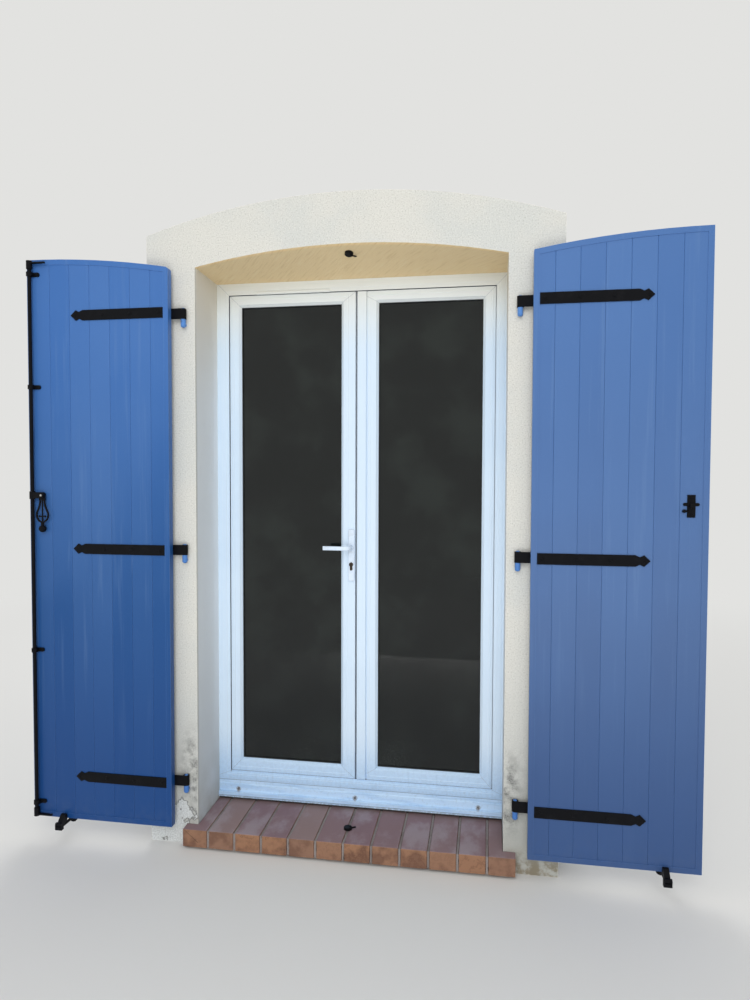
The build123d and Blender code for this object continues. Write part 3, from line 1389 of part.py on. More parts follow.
# Keeper on the right shutter: a cross-shaped plate with a tray that the raised lyre rests in
closed_rod_x = 2 * pintle_x - rod_x
closed_keeper_x = 2 * pintle_x - keeper_x
keeper_drop = closed_keeper_x + closed_rod_x - LUG_REACH
tray_top = rivet_z - lyre_half_width(keeper_drop + TRAY_HALF_WIDTH) - REST_GAP
with BuildPart() as handle_keeper:
    with BuildSketch(facade(board_front)):
        Frame(
            keeper_x - KEEPER_WIDTH / 2,
            keeper_x + KEEPER_WIDTH / 2,
            rivet_z - KEEPER_BELOW,
            rivet_z + KEEPER_ABOVE,
        ).draw()
        with Locations((keeper_x, tray_top + KEEPER_ARM_HEIGHT / 2)):
            SlotOverall(2 * KEEPER_ARM, KEEPER_ARM_HEIGHT)
        with Locations(*fitting_screws[RIGHT]):
            Circle(SMALL_SCREW_RADIUS + BOLT_PLAY, mode=Mode.SUBTRACT)
    extrude(amount=KEEPER_THICKNESS)
    with BuildSketch(Plane.YZ.offset(keeper_x - TRAY_HALF_WIDTH)):
        tray_inner = rod_y - LYRE_BAR - STRAP_PLAY
        tray_outer = tray_inner - TRAY_THICKNESS
        tray_bottom = tray_top - TRAY_THICKNESS
        Frame(tray_outer, board_front, tray_bottom, tray_top).draw()
        Frame(tray_outer, tray_inner, tray_bottom, tray_top + TRAY_LIP_HEIGHT).draw()
    extrude(amount=2 * TRAY_HALF_WIDTH)

handle_keeper.part.label = "handle_keeper"
export_step(handle_keeper.part, "parts/handle_keeper.step")

with BuildPart() as keeper_screws:
    small_screws(keeper_front, fitting_screws[RIGHT])

keeper_screws.part.label = "keeper_screws"
export_step(keeper_screws.part, "parts/keeper_screws.step")

# Hold-backs: a rod out of the wall below each shutter, with a nose pivoted at its outer end
pivot_y = panel_front - NOSE_PIVOT_OUT
pivot_z = panel_bottom - NOSE_PIVOT_DROP
holdback_places = {side: side * (panel_free_edge - HOLDBACK_INSET[side]) for side in (LEFT, RIGHT)}
ear_inner = NOSE_WIDTH / 2 + NOSE_PLAY
ear_outer = ear_inner + EAR_THICKNESS
rod_z = pivot_z - HOLDBACK_ROD_DROP
with BuildPart() as holdback_bases:
    for x in holdback_places.values():
        with BuildSketch(facade(HOLDBACK_SHANK)):
            with Locations((x, rod_z)):
                Circle(HOLDBACK_ROD_RADIUS)
        extrude(amount=HOLDBACK_SHANK - pivot_y)
        with BuildSketch(facade(0)):
            with Locations((x, rod_z)):
                Circle(ROSETTE_RADIUS)
        extrude(amount=ROSETTE_THICKNESS)
        with BuildSketch(Plane.YZ.offset(x - ear_outer)):
            with Locations((pivot_y, pivot_z)):
                Circle(NOSE_BOSS_RADIUS)
            Frame(
                pivot_y - NOSE_BOSS_RADIUS, pivot_y + NOSE_BOSS_RADIUS, rod_z - HOLDBACK_ROD_RADIUS, pivot_z
            ).draw()
            with Locations((pivot_y, pivot_z)):
                Circle(NOSE_PIN_RADIUS, mode=Mode.SUBTRACT)
        extrude(amount=2 * ear_outer)
        with BuildSketch(Plane.YZ.offset(x - ear_inner)):
            slot_bottom = rod_z + HOLDBACK_ROD_RADIUS
            slot_reach = 2 * NOSE_BOSS_RADIUS
            Frame(pivot_y - slot_reach, pivot_y + slot_reach, slot_bottom, panel_bottom).draw()
        extrude(amount=2 * ear_inner, mode=Mode.SUBTRACT)

holdback_bases.part.label = "holdback_bases"
export_step(holdback_bases.part, "parts/holdback_bases.step")

with BuildPart() as holdback_pins:
    for x in holdback_places.values():
        with BuildSketch(Plane.YZ.offset(x - ear_outer)):
            with Locations((pivot_y, pivot_z)):
                Circle(NOSE_PIN_RADIUS)
        extrude(amount=2 * ear_outer)

holdback_pins.part.label = "holdback_pins"
export_step(holdback_pins.part, "parts/holdback_pins.step")

for side in (LEFT, RIGHT):
    name = SIDE_NAME[side]
    x = holdback_places[side]
    with BuildPart() as nose:
        with BuildSketch(Plane.YZ.offset(x - NOSE_WIDTH / 2)):
            with Locations((pivot_y, pivot_z)):
                Polygon(*NOSE_PROFILE, align=None)
                Circle(NOSE_BOSS_RADIUS)
                Circle(NOSE_PIN_RADIUS + RUNNING_PLAY, mode=Mode.SUBTRACT)
        extrude(amount=NOSE_WIDTH)

    nose.part.label = f"{name}_holdback_nose"
    export_step(nose.part, f"parts/{name}_holdback_nose.step")
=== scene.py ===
import math

import bmesh
import bpy
from mathutils import Matrix, Vector


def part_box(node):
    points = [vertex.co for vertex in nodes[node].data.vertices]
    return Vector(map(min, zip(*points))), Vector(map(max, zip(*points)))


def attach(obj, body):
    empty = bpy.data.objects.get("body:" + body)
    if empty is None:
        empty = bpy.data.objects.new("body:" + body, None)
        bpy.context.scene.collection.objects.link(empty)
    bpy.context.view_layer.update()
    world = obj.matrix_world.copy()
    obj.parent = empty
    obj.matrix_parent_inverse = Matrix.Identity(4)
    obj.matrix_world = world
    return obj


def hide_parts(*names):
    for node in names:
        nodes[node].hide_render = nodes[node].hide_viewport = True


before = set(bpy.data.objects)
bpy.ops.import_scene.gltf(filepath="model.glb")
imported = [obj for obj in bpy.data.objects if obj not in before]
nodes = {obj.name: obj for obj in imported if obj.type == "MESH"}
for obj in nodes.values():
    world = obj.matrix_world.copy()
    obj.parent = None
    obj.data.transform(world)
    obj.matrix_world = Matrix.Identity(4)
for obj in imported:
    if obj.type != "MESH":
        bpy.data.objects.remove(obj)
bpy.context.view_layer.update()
scene = bpy.context.scene
SIDES = ("left", "right")


def linear(red, green, blue):
    """A colour given in 0 to 255, as the linear values that shaders take."""
    steps = [v / 255 for v in (red, green, blue)]
    curve = [v / 12.92 if v < 0.04045 else ((v + 0.055) / 1.055) ** 2.4 for v in steps]
    return (*curve, 1.0)


class Wiring:
    """A node tree and the one way that nodes are added to it."""

    def __init__(self, tree):
        self.tree = tree

    def feed(self, socket, value):
        if isinstance(value, Wire):
            self.tree.links.new(value.socket, socket)
        elif value is not None:
            socket.default_value = value

    def node(self, kind, settings=None, sockets=None, out=0):
        made = self.tree.nodes.new(kind)
        for name, value in (settings or {}).items():
            setattr(made, name, value)
        for name, value in (sockets or {}).items():
            self.feed(made.inputs[name], value)
        return Wire(self, made.outputs[out]) if made.outputs else None

    def outputs(self, wire):
        """All the outputs of the node that a wire comes from, by name."""
        return {socket.name: Wire(self, socket) for socket in wire.socket.node.outputs}

    def math(self, operation, *values):
        return self.node("ShaderNodeMath", {"operation": operation}, dict(enumerate(values)))

    def largest(self, first, *others):
        for other in others:
            first = self.math("MAXIMUM", first, other)
        return first

    def split(self, vector):
        parts = self.outputs(self.node("ShaderNodeSeparateXYZ", sockets={0: vector}))
        return [parts[axis] for axis in "XYZ"]


class Wire:
    """One output of a node; arithmetic on it adds Math nodes."""

    def __init__(self, wiring, socket):
        self.wiring = wiring
        self.socket = socket

    def __add__(self, other):
        return self.wiring.math("ADD", self, other)

    __radd__ = __add__

    def __mul__(self, other):
        return self.wiring.math("MULTIPLY", self, other)

    __rmul__ = __mul__

    def __sub__(self, other):
        return self.wiring.math("SUBTRACT", self, other)

    def __rsub__(self, other):
        return self.wiring.math("SUBTRACT", other, self)

    def __truediv__(self, other):
        return self.wiring.math("DIVIDE", self, other)

    def __neg__(self):
        return self.wiring.math("MULTIPLY", self, -1.0)

    def __abs__(self):
        return self.wiring.math("ABSOLUTE", self)


class Finish(Wiring):
    """A surface finish: a Principled shader and the patterns that drive it, in metres on the piece."""

    def __init__(self, name, colour, rough, metal=0.0, **constants):
        self.material = bpy.data.materials.new(name)
        self.material.use_nodes = True
        super().__init__(self.material.node_tree)
        self.shader = self.tree.nodes["Principled BSDF"]
        self.colour = colour
        self.rough = rough
        self.shader.inputs["Metallic"].default_value = metal
        for socket, value in constants.items():
            self.shader.inputs[socket.replace("_", " ")].default_value = value
        coordinates = self.outputs(self.node("ShaderNodeTexCoord"))
        self.place = coordinates["Object"]
        self.x, self.y, self.z = self.split(self.place)
        self.facing_y, self.facing_z = self.split(coordinates["Normal"])[1:]

    def stretched(self, along_x=1.0, along_y=1.0, along_z=1.0):
        """The place on the piece, with the pattern drawn out where a factor is below 1."""
        scale = (along_x, along_y, along_z)
        return self.node("ShaderNodeMapping", None, {"Vector": self.place, "Scale": scale})

    def noise(self, scale, detail, rough=0.55, vector=None):
        sockets = {"Vector": vector or self.place, "Scale": scale, "Detail": detail, "Roughness": rough}
        return self.node("ShaderNodeTexNoise", None, sockets)

    def cells(self, scale):
        """The distance to the nearest of many scattered points."""
        return self.node("ShaderNodeTexVoronoi", None, {"Vector": self.place, "Scale": scale})

    def span(self, value, low, high):
        """Rises smoothly from 0 where value is low to 1 where it is high."""
        settings = {"interpolation_type": "SMOOTHSTEP"}
        return self.node("ShaderNodeMapRange", settings, {0: value, 1: low, 2: high, 3: 0.0, 4: 1.0})

    def per_step(self, value, step, start):
        """A chance number from 0 to 1 for each whole step of value."""
        count = self.math("FLOOR", (value - start) / step)
        return self.node("ShaderNodeTexWhiteNoise", {"noise_dimensions": "1D"}, {"W": count})

    def paint(self, colour, factor):
        """Lays a colour over what the finish has so far."""
        mixed = {"Factor": factor, 6: self.colour, 7: colour}
        self.colour = self.node("ShaderNodeMix", {"data_type": "RGBA"}, mixed, 2)

    def edges(self, radius):
        """1 along the outer edges of a piece, within about a radius of them, and 0 elsewhere."""
        rounded = self.node("ShaderNodeBevel", {"samples": 6}, {"Radius": radius})
        flat = self.outputs(self.node("ShaderNodeNewGeometry"))["Normal"]
        same = self.node("ShaderNodeVectorMath", {"operation": "DOT_PRODUCT"}, {0: rounded, 1: flat}, 1)
        return self.span(same, 0.995, 0.85)

    def seam(self, start, end, width):
        """1 on a straight line between two points of the XZ plane, and 0 away from it."""
        (x0, z0), (x1, z1) = start, end
        length = math.hypot(x1 - x0, z1 - z0)
        ux, uz = (x1 - x0) / length, (z1 - z0) / length
        dx, dz = self.x - x0, self.z - z0
        across = abs(dx * uz - dz * ux)
        middle = abs(dx * ux + dz * uz - length / 2)
        return self.span(across, width, width * 0.4) * self.math("LESS_THAN", middle, length / 2)

    def round_spot(self, x, z, outer, inner):
        """1 within the inner radius of a point of the XZ plane, and 0 from the outer one on."""
        dx, dz = self.x - x, self.z - z
        return self.span(self.math("SQRT", dx * dx + dz * dz), outer, inner)

    def done(self, height=None, depth=0.001, strength=1.0):
        """Joins the patterns to the shader, with height in units of depth, and gives the finish."""
        inputs = self.shader.inputs
        self.feed(inputs["Base Color"], self.colour)
        self.feed(inputs["Roughness"], self.rough)
        if height is not None:
            bump = {"Strength": strength, "Distance": depth, "Height": height}
            self.feed(inputs["Normal"], self.node("ShaderNodeBump", None, bump))
        return self


# Places on the object, taken from the frame
def placed(values):
    """Lengths in metres, to a hundredth of a millimetre."""
    return [round(value, 5) for value in values]


def outline(name):
    """Left, right, bottom and top of a CAD node, seen from in front."""
    low, high = (placed(corner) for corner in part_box(name))
    return low[0], high[0], low[2], high[2]


def grown(rectangle, margin):
    """A rectangle with its left, right, bottom and top moved outward by a margin."""
    left, right, bottom, top = rectangle
    return left - margin, right + margin, bottom - margin, top + margin


# The white profiles from in front: frame widths, the gap round the leaves, the cover over the panes
FRAME_SIDE, FRAME_FOOT, LEAF_GAP, PANE_COVER = 0.086, 0.035, 0.003, 0.012
frame_outer = outline("door_frame")
frame_left, frame_right, frame_bottom, frame_top = frame_outer
frame_inner = (
    frame_left + FRAME_SIDE,
    frame_right - FRAME_SIDE,
    frame_bottom + FRAME_FOOT,
    frame_top - FRAME_SIDE,
)
shown_left, shown_right, shown_bottom, shown_top = grown(frame_inner, -LEAF_GAP)
leaf_outer = {
    "left": (shown_left, outline("left_sash")[1], shown_bottom, shown_top),
    "right": (outline("right_sash")[0], shown_right, shown_bottom, shown_top),
}
leaf_inner = {side: grown(outline(f"{side}_panes"), -PANE_COVER) for side in SIDES}

# The threshold, which is screwed down
threshold_low, threshold_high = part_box("threshold")
SCREW_RADIUS = 0.004

# The sill: bricks on edge, in a row with equal joints, sloping up to the threshold
sill_low, sill_high = (placed(corner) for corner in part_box("sill_bricks"))
SILL_FRONT, BED_TOP = sill_low[1:]
SILL_HALF, SILL_BACK = sill_high[:2]
BRICK_COUNT, BRICK_WIDTH, JOINT_WIDTH = 12, 0.09879, 0.0095
BRICK_PITCH = round(BRICK_WIDTH + JOINT_WIDTH, 5)
NOSE_HEIGHT, SILL_SLOPE = 0.080, 0.03

# The shutters' boards: the first joint's distance from the hinge edge, and the joints' from each other
SHUTTER_HINGE_EDGE = outline("right_edge_profile")[0]
FIRST_BOARD, BOARD_STEP = 0.074, 0.085


def scratched_render():
    """Cream grey on the face, reveals painted lighter and bluer, ochre under the arch with painted warm
    bounce light, weathered at its feet.
    """
    f = Finish("scratched_render", linear(214, 213, 206), rough=0.92)
    clouds = f.noise(2.4, 5)
    grains = f.noise(190, 3, 0.75)
    front = f.span(-f.facing_y, 0.4, 0.7)
    f.paint(linear(200, 204, 202), f.span(clouds, 0.42, 0.66) * 0.6)
    f.paint(linear(234, 234, 226), f.span(grains, 0.52, 0.66) * 0.55)
    f.paint(linear(166, 166, 156), f.span(grains, 0.47, 0.33) * 0.6)

    # The reveals are painted lighter and bluer, as sky light, and turn warmer towards the arch. The
    # underside of the arch is ochre, its own colour with painted warm bounce light, with the strokes of a
    # float
    # Painted light: the reveals lighter and bluer than the face
    reveal = f.span(f.y, 0.004, 0.02)
    f.paint(linear(236, 242, 246), reveal * 0.95)
    under = f.span(-f.facing_z, 0.5, 0.85)
    across_float, along_float = (f.x + f.y * 0.9) * 90, (f.y - f.x * 0.9) * 9
    slant = f.node("ShaderNodeCombineXYZ", sockets={0: across_float, 1: along_float, 2: 0.0})
    drawn = f.noise(1.0, 3, 0.6, vector=slant)
    # Painted warm bounce light: the ochre underside, brighter than its own colour
    f.paint(linear(250, 220, 168), under * 0.97)
    f.paint(linear(214, 178, 124), under * f.span(drawn, 0.5, 0.7) * 0.5)
    f.paint(linear(254, 236, 198), under * f.span(drawn, 0.46, 0.32) * 0.5)
    f.paint(linear(214, 196, 158), f.span(f.z, 1.7, 2.32) * reveal * 0.5)

    # Darker low down, in warm clouds and a bluer grey towards the foot; near-black blotches beside the low
    # hinges; splashes at the foot
    blotches = f.noise(26, 5, 0.65)
    low = f.span(f.z, 0.55, 0.05)
    f.paint(linear(176, 172, 156), low * f.span(clouds, 0.35, 0.6) * 0.7)
    f.paint(linear(158, 164, 166), f.span(f.z, 1.0, 0.1) * 0.45)
    beside_hinge = f.span(abs(f.x), 0.70, 0.61) * f.span(f.z, 0.52, 0.34) * f.span(f.z, 0.10, 0.24) * front
    speckle = f.span(grains, 0.42, 0.62) * 0.5 + 0.5
    f.paint(linear(62, 62, 64), beside_hinge * f.span(blotches, 0.40, 0.64) * speckle * 0.9)
    f.paint(linear(120, 108, 84), f.span(f.z, 0.12, 0.02) * f.span(blotches, 0.36, 0.58) * 0.8)

    # Pale flaked patches with a dark rim at the foot of the left leg
    flake_shape = f.noise(17, 4, 0.6) + f.span(f.x, -0.60, -0.67) * 0.25 - f.span(f.z, 0.14, 0.24) * 0.6
    left_leg = f.span(f.x, -0.56, -0.60) * front
    flakes = f.span(flake_shape, 0.60, 0.63) * f.span(f.z, 0.26, 0.2) * left_leg
    flake_rim = f.span(flake_shape, 0.55, 0.60) * f.span(f.z, 0.28, 0.22) * left_leg
    f.paint(linear(96, 98, 98), flake_rim * 0.75)
    f.paint(linear(220, 224, 224), flakes * (0.6 + f.span(grains, 0.4, 0.6) * 0.35))

    f.paint(linear(238, 234, 222), f.edges(0.004) * f.span(f.noise(40, 3), 0.35, 0.6) * 0.7)
    f.rough = 0.95 - flakes * 0.25
    pits = f.span(f.cells(230), 0.0, 0.5)
    relief = grains * 0.6 + pits * 0.3 + drawn * under * 0.8 + flakes * 0.9
    return f.done(relief, 0.0016, 0.9)


def fired_clay():
    """Brown orange fronts with scorched clouds and rings; pinkish brown tops, painted mauve grey with bluish
    shade light, with a pale bloom.
    """
    f = Finish("fired_clay", linear(136, 104, 86), rough=0.9)
    kiln = f.per_step(f.x, BRICK_PITCH, -SILL_HALF)
    cloud = f.noise(11, 5, 0.6)
    sand = f.noise(520, 2, 0.7)
    f.paint(linear(156, 114, 84), f.span(kiln, 0.2, 0.9) * 0.6)
    f.paint(linear(104, 74, 60), f.span(cloud, 0.46, 0.60) * 0.7)
    ring = f.math("SINE", cloud * 34.0)
    f.paint(linear(84, 56, 46), f.span(ring, 0.78, 1.0) * f.span(kiln, 0.3, 0.8) * 0.35)

    # The tops: their own pinkish brown, painted mauve grey with bluish shade light
    top = f.span(f.facing_z, 0.5, 0.8)
    f.paint(linear(138, 116, 120), top * 0.9)
    f.paint(linear(124, 98, 108), top * f.span(kiln, 0.35, 0.75) * 0.5)
    f.paint(linear(148, 128, 124), top * f.span(kiln, 0.45, 0.1) * 0.5)
    bloom = f.noise(7, 5, 0.62, vector=f.stretched(along_y=0.6))
    f.paint(linear(164, 154, 160), top * f.span(bloom, 0.46, 0.68) * 0.6)
    f.paint(linear(96, 78, 70), f.span(f.y, 0.17, SILL_BACK) * top * 0.55)

    f.paint(linear(98, 74, 60), f.span(sand, 0.36, 0.26) * 0.35)
    f.paint(linear(190, 160, 140), f.edges(0.0035) * f.span(f.noise(60, 3), 0.4, 0.6) * 0.6)

    # A crack across the front of the left end brick
    crack = f.seam((-0.640, 0.078), (-0.582, 0.030), 0.0011)
    f.paint(linear(58, 42, 36), crack * f.span(-f.facing_y, 0.5, 0.8) * 0.9)
    f.rough = 0.9 - f.span(cloud, 0.5, 0.7) * 0.12
    return f.done(sand * 0.7 + cloud * 0.6 - crack * 1.5, 0.0010, 0.8)


def cement_mortar():
    """Sandy grey, darker where it stays damp and towards its foot, with a painted shadow line under the
    threshold.
    """
    f = Finish("cement_mortar", linear(142, 134, 132), rough=0.95)
    sand = f.noise(600, 2, 0.75)
    damp = f.noise(9, 4)
    f.paint(linear(172, 166, 164), f.span(sand, 0.52, 0.7) * 0.7)
    f.paint(linear(98, 92, 84), f.span(sand, 0.44, 0.3) * 0.6)
    f.paint(linear(112, 102, 98), f.span(damp, 0.46, 0.62) * 0.5)
    f.paint(linear(80, 72, 62), f.span(f.z, 0.02, 0.0) * 0.5)
    # Painted shadow: a near-black line on the upstand under the threshold's lip
    f.paint(linear(30, 30, 32), f.span(f.y, 0.2222, 0.2236) * f.span(f.z, 0.078, 0.084) * 0.85)
    return f.done(sand + damp * 0.6, 0.0012, 0.9)


def corner_seams(outer, inner):
    """The four mitres between an outer and an inner rectangle, each left, right, bottom, top."""
    return [((outer[i], outer[j]), (inner[i], inner[j])) for i in (0, 1) for j in (2, 3)]


def white_plastic(name, *seams, rebated=False):
    """White window profile: bluish as painted shade light, a little warm at the head, bluer as painted shade
    and dusty low down, welded at the corners, with a painted highlight along the edges.
    """
    f = Finish(name, linear(211, 229, 246), rough=0.3, Coat_Weight=0.1, Coat_Roughness=0.2)
    wide = f.noise(1.3, 3)
    dust = f.noise(90, 4, 0.65)
    foot = f.span(f.z, 0.42, 0.12)
    f.paint(linear(198, 219, 240), f.span(wide, 0.42, 0.62) * 0.5)
    f.paint(linear(232, 228, 212), f.span(f.z, 1.95, 2.30) * 0.7)
    # Painted shade: bluer low down
    f.paint(linear(170, 206, 242), foot * 0.85)
    f.paint(linear(166, 188, 212), foot * f.span(dust, 0.40, 0.62) * 0.35)
    runs = f.noise(70, 3, 0.6, vector=f.stretched(along_z=0.05))
    f.paint(linear(150, 178, 206), foot * f.span(runs, 0.55, 0.72) * 0.3)
    specks = f.span(f.cells(55), 0.09, 0.05) * f.span(dust, 0.5, 0.62)
    f.paint(linear(120, 112, 98), specks * foot * 0.6)

    relief = f.noise(7, 2) * 0.4
    if seams:
        lines = sum(f.seam(start, end, 0.0009) for start, end in seams)
        f.paint(linear(122, 134, 150), lines * 0.6)
        relief = relief - lines * 0.5
    if rebated:
        # In the gap round the leaves the profile's sides lie in shade
        in_gap = f.span(f.y, 0.2260, 0.2272) * f.span(f.y, 0.252, 0.246)
        f.paint(linear(66, 78, 96), in_gap * f.span(abs(f.facing_y), 0.6, 0.4) * 0.85)
    # Painted highlight along the edges
    f.paint(linear(244, 248, 252), f.edges(0.0015) * 0.5)
    f.rough = 0.28 + f.span(wide, 0.4, 0.7) * 0.06 + foot * 0.12
    return f.done(relief, 0.0006, 0.5)


def threshold_plastic():
    """The white profile again, bluish as painted shade light, with painted shadow lines along its lips, a
    grimy ring round each screw, and dirt.
    """
    f = Finish("white_threshold_profile", linear(192, 220, 248), rough=0.32, Coat_Weight=0.1)
    dust = f.noise(80, 4, 0.65)
    runs = f.noise(50, 3, 0.6, vector=f.stretched(along_x=0.12))
    f.paint(linear(160, 196, 234), f.span(runs, 0.45, 0.62) * 0.55)
    f.paint(linear(150, 166, 180), f.span(dust, 0.5, 0.7) * 0.25)
    lips = ((threshold_low.z + 0.0115, 0.0014), (threshold_high.z - 0.0045, 0.0012))
    lip_lines = sum(f.seam((frame_left, z), (frame_right, z), width) for z, width in lips)
    f.paint(linear(60, 76, 100), lip_lines * 0.75)

    screws_low, screws_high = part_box("threshold_screws")
    screw_z = (screws_low.z + screws_high.z) / 2
    first, last = screws_low.x + SCREW_RADIUS, screws_high.x - SCREW_RADIUS
    for x in (first, (first + last) / 2, last):
        ring = f.round_spot(x, screw_z, 0.013, 0.006)
        f.paint(linear(118, 96, 70), ring * f.span(f.noise(160, 3), 0.35, 0.55) * 0.85)
    f.paint(linear(108, 104, 96), f.span(f.z, 0.107, 0.094) * f.span(dust, 0.35, 0.55) * 0.7)
    # Painted highlight along the edges
    f.paint(linear(244, 248, 252), f.edges(0.0015) * 0.5)
    f.rough = 0.3 + f.span(dust, 0.4, 0.7) * 0.25
    return f.done(dust * 0.5 + runs * 0.4 - lip_lines, 0.0005, 0.5)


def handle_enamel():
    """White lacquer on the lever and its plates, faintly clouded, and greyer along the edges with painted
    blue-grey shade.
    """
    f = Finish("white_enamel", linear(216, 231, 248), rough=0.22, Coat_Weight=0.35, Coat_Roughness=0.08)
    touch = f.noise(30, 4)
    f.paint(linear(200, 212, 224), f.span(touch, 0.48, 0.66) * 0.5)
    # Painted shade along the edges
    f.paint(linear(150, 164, 182), f.edges(0.0018) * 0.6)
    f.rough = 0.18 + touch * 0.2
    return f.done(touch, 0.0003, 0.3)


def rubber(name, colour, bloom, bloom_start, bloom_end):
    """Matt seal with a chalky bloom."""
    f = Finish(name, colour, rough=0.6)
    chalk = f.noise(120, 4)
    f.paint(bloom, f.span(chalk, bloom_start, bloom_end) * 0.6)
    f.rough = 0.55 + chalk * 0.3
    return f.done(chalk, 0.0004, 0.4)


def dark_glazing():
    """Double glazing: dark from in front, as over an unlit room, with a film of dust near the foot."""
    f = Finish("dark_glazing", linear(17, 21, 20), rough=0.03, Specular_IOR_Level=0.42)
    film = f.noise(5, 4)
    spots = f.noise(240, 3, 0.7)
    foot = f.span(f.z, 0.5, 0.27)
    f.paint(linear(38, 46, 42), f.span(film, 0.45, 0.7) * 0.35)
    f.paint(linear(18, 22, 24), f.span(f.z, 1.5, 0.4) * 0.4)
    f.paint(linear(120, 124, 122), foot * f.span(spots, 0.56, 0.72) * 0.4)
    f.rough = 0.02 + f.span(film, 0.5, 0.7) * 0.03 + foot * f.span(spots, 0.5, 0.7) * 0.15
    f.feed(f.shader.inputs["Alpha"], 0.86 + f.span(film, 0.3, 0.7) * 0.1)
    return f.done()


def worked_metal(name, colour, bare, rough, metal=1.0, wear=0.5, **constants):
    """Plated or coated metal, fogged and scuffed, its edges rubbed to the bare colour."""
    f = Finish(name, colour, rough=rough, metal=metal, **constants)
    fog = f.noise(28, 4)
    fine = f.noise(380, 3, 0.65)
    f.paint(bare, f.span(fog, 0.5, 0.72) * 0.3 * wear)
    f.paint(bare, f.edges(0.0014) * f.span(fine, 0.38, 0.6) * wear)
    f.rough = rough + f.span(fine, 0.4, 0.7) * 0.14 + fog * 0.08
    return f.done(fine + fog * 0.5, 0.0003, 0.5)


def blue_paint(name, colour, painted_light_low, foot, boards=None, chips=0.0):
    """Blue coat with painted light: another tone lower down, painted shade at the foot, a painted highlight
    on the edges; dusty. Given the boards' step and start, each is a shade apart.
    """
    f = Finish(name, colour, rough=0.4, Specular_IOR_Level=0.35, Coat_Weight=0.05, Coat_Roughness=0.3)
    wide = f.noise(0.9, 3)
    dust = f.noise(210, 3, 0.7)
    # Painted light: lighter high up, another tone lower down
    f.paint(painted_light_low, f.span(f.z, 2.2, 0.9))
    f.paint(linear(84, 124, 182), f.span(wide, 0.42, 0.68) * 0.25)
    if boards:
        shade = f.per_step(f.x, *boards)
        f.paint(linear(96, 134, 188), f.span(shade, 0.2, 1.0) * 0.14)
    runs = f.noise(46, 4, 0.6, vector=f.stretched(along_z=0.035))
    f.paint(linear(112, 142, 184), f.span(runs, 0.54, 0.74) * 0.18)
    f.paint(linear(140, 158, 182), f.span(dust, 0.60, 0.74) * 0.14)
    f.paint(linear(112, 126, 146), f.span(f.z, 0.22, 0.09) * f.span(f.noise(34, 4), 0.42, 0.62) * 0.3)
    # Painted shade: darker towards the foot
    f.paint(foot, f.span(f.z, 1.15, 0.15) * 0.8)
    # Painted highlight along the edges
    f.paint(linear(104, 146, 208), f.edges(0.0016) * 0.5)
    if chips:
        f.paint(linear(70, 58, 50), f.span(f.noise(95, 4, 0.7), 0.62, 0.66) * chips)
    f.rough = 0.38 + f.span(dust, 0.4, 0.7) * 0.12 + f.span(runs, 0.5, 0.7) * 0.08
    return f.done(f.noise(620, 2), 0.00025, 0.5)


render_finish = scratched_render()
brick_finish = fired_clay()
mortar_finish = cement_mortar()
frame_finish = white_plastic("white_frame_profile", *corner_seams(frame_outer, frame_inner), rebated=True)
leaf_finish = {
    side: white_plastic(f"white_{side}_leaf_profile", *corner_seams(leaf_outer[side], leaf_inner[side]))
    for side in SIDES
}
plain_white = white_plastic("white_plain_profile")
threshold_finish = threshold_plastic()
enamel_finish = handle_enamel()
seal_finish = rubber("black_seal", linear(34, 35, 36), linear(76, 76, 74), 0.52, 0.72)
pale_seal_finish = rubber("pale_seal", linear(172, 184, 196), linear(138, 146, 154), 0.48, 0.7)
glass_finish = dark_glazing()
spacer_finish = worked_metal("spacer_foil", linear(150, 153, 156), linear(120, 122, 126), 0.4)
zinc_finish = worked_metal("zinc_plate", linear(168, 168, 162), linear(120, 112, 98), 0.42)
nickel_finish = worked_metal("nickel_plate", linear(84, 76, 68), linear(120, 110, 98), 0.4)
rivet_finish = worked_metal("bright_rivet", linear(202, 202, 198), linear(138, 134, 128), 0.28)
blacks = linear(6, 7, 12), linear(48, 46, 48)
black_finish = worked_metal("black_powder_coat", *blacks, 0.5, metal=0.0, wear=0.3, Specular_IOR_Level=0.18)
# Each side's coat: its colour, its tone lower down with painted light, and its painted shade at the foot
blues = {
    "left": (linear(56, 106, 174), linear(24, 76, 136), linear(14, 62, 122)),
    "right": (linear(70, 109, 166), linear(76, 104, 150), linear(46, 74, 122)),
}
board_finish, profile_finish = {}, {}
for side, outward in zip(SIDES, (-1, 1)):
    boards = (outward * BOARD_STEP, outward * (SHUTTER_HINGE_EDGE + FIRST_BOARD))
    board_finish[side] = blue_paint(f"blue_boards_{side}", *blues[side], boards)
    profile_finish[side] = blue_paint(f"blue_profile_{side}", *blues[side])
# The pintles' coat, with the same painted light lower down and painted shade at the foot
pintle_blues = linear(84, 136, 204), linear(72, 122, 190), linear(64, 112, 180)
pintle_finish = blue_paint("blue_pintle_paint", *pintle_blues, chips=0.7)


def dress(finish, *names):
    """Gives CAD nodes a finish, by their material slots alone."""
    for name in names:
        mesh = nodes[name].data
        if not mesh.materials:
            mesh.materials.append(finish.material)
        for i in range(len(mesh.materials)):
            mesh.materials[i] = finish.material


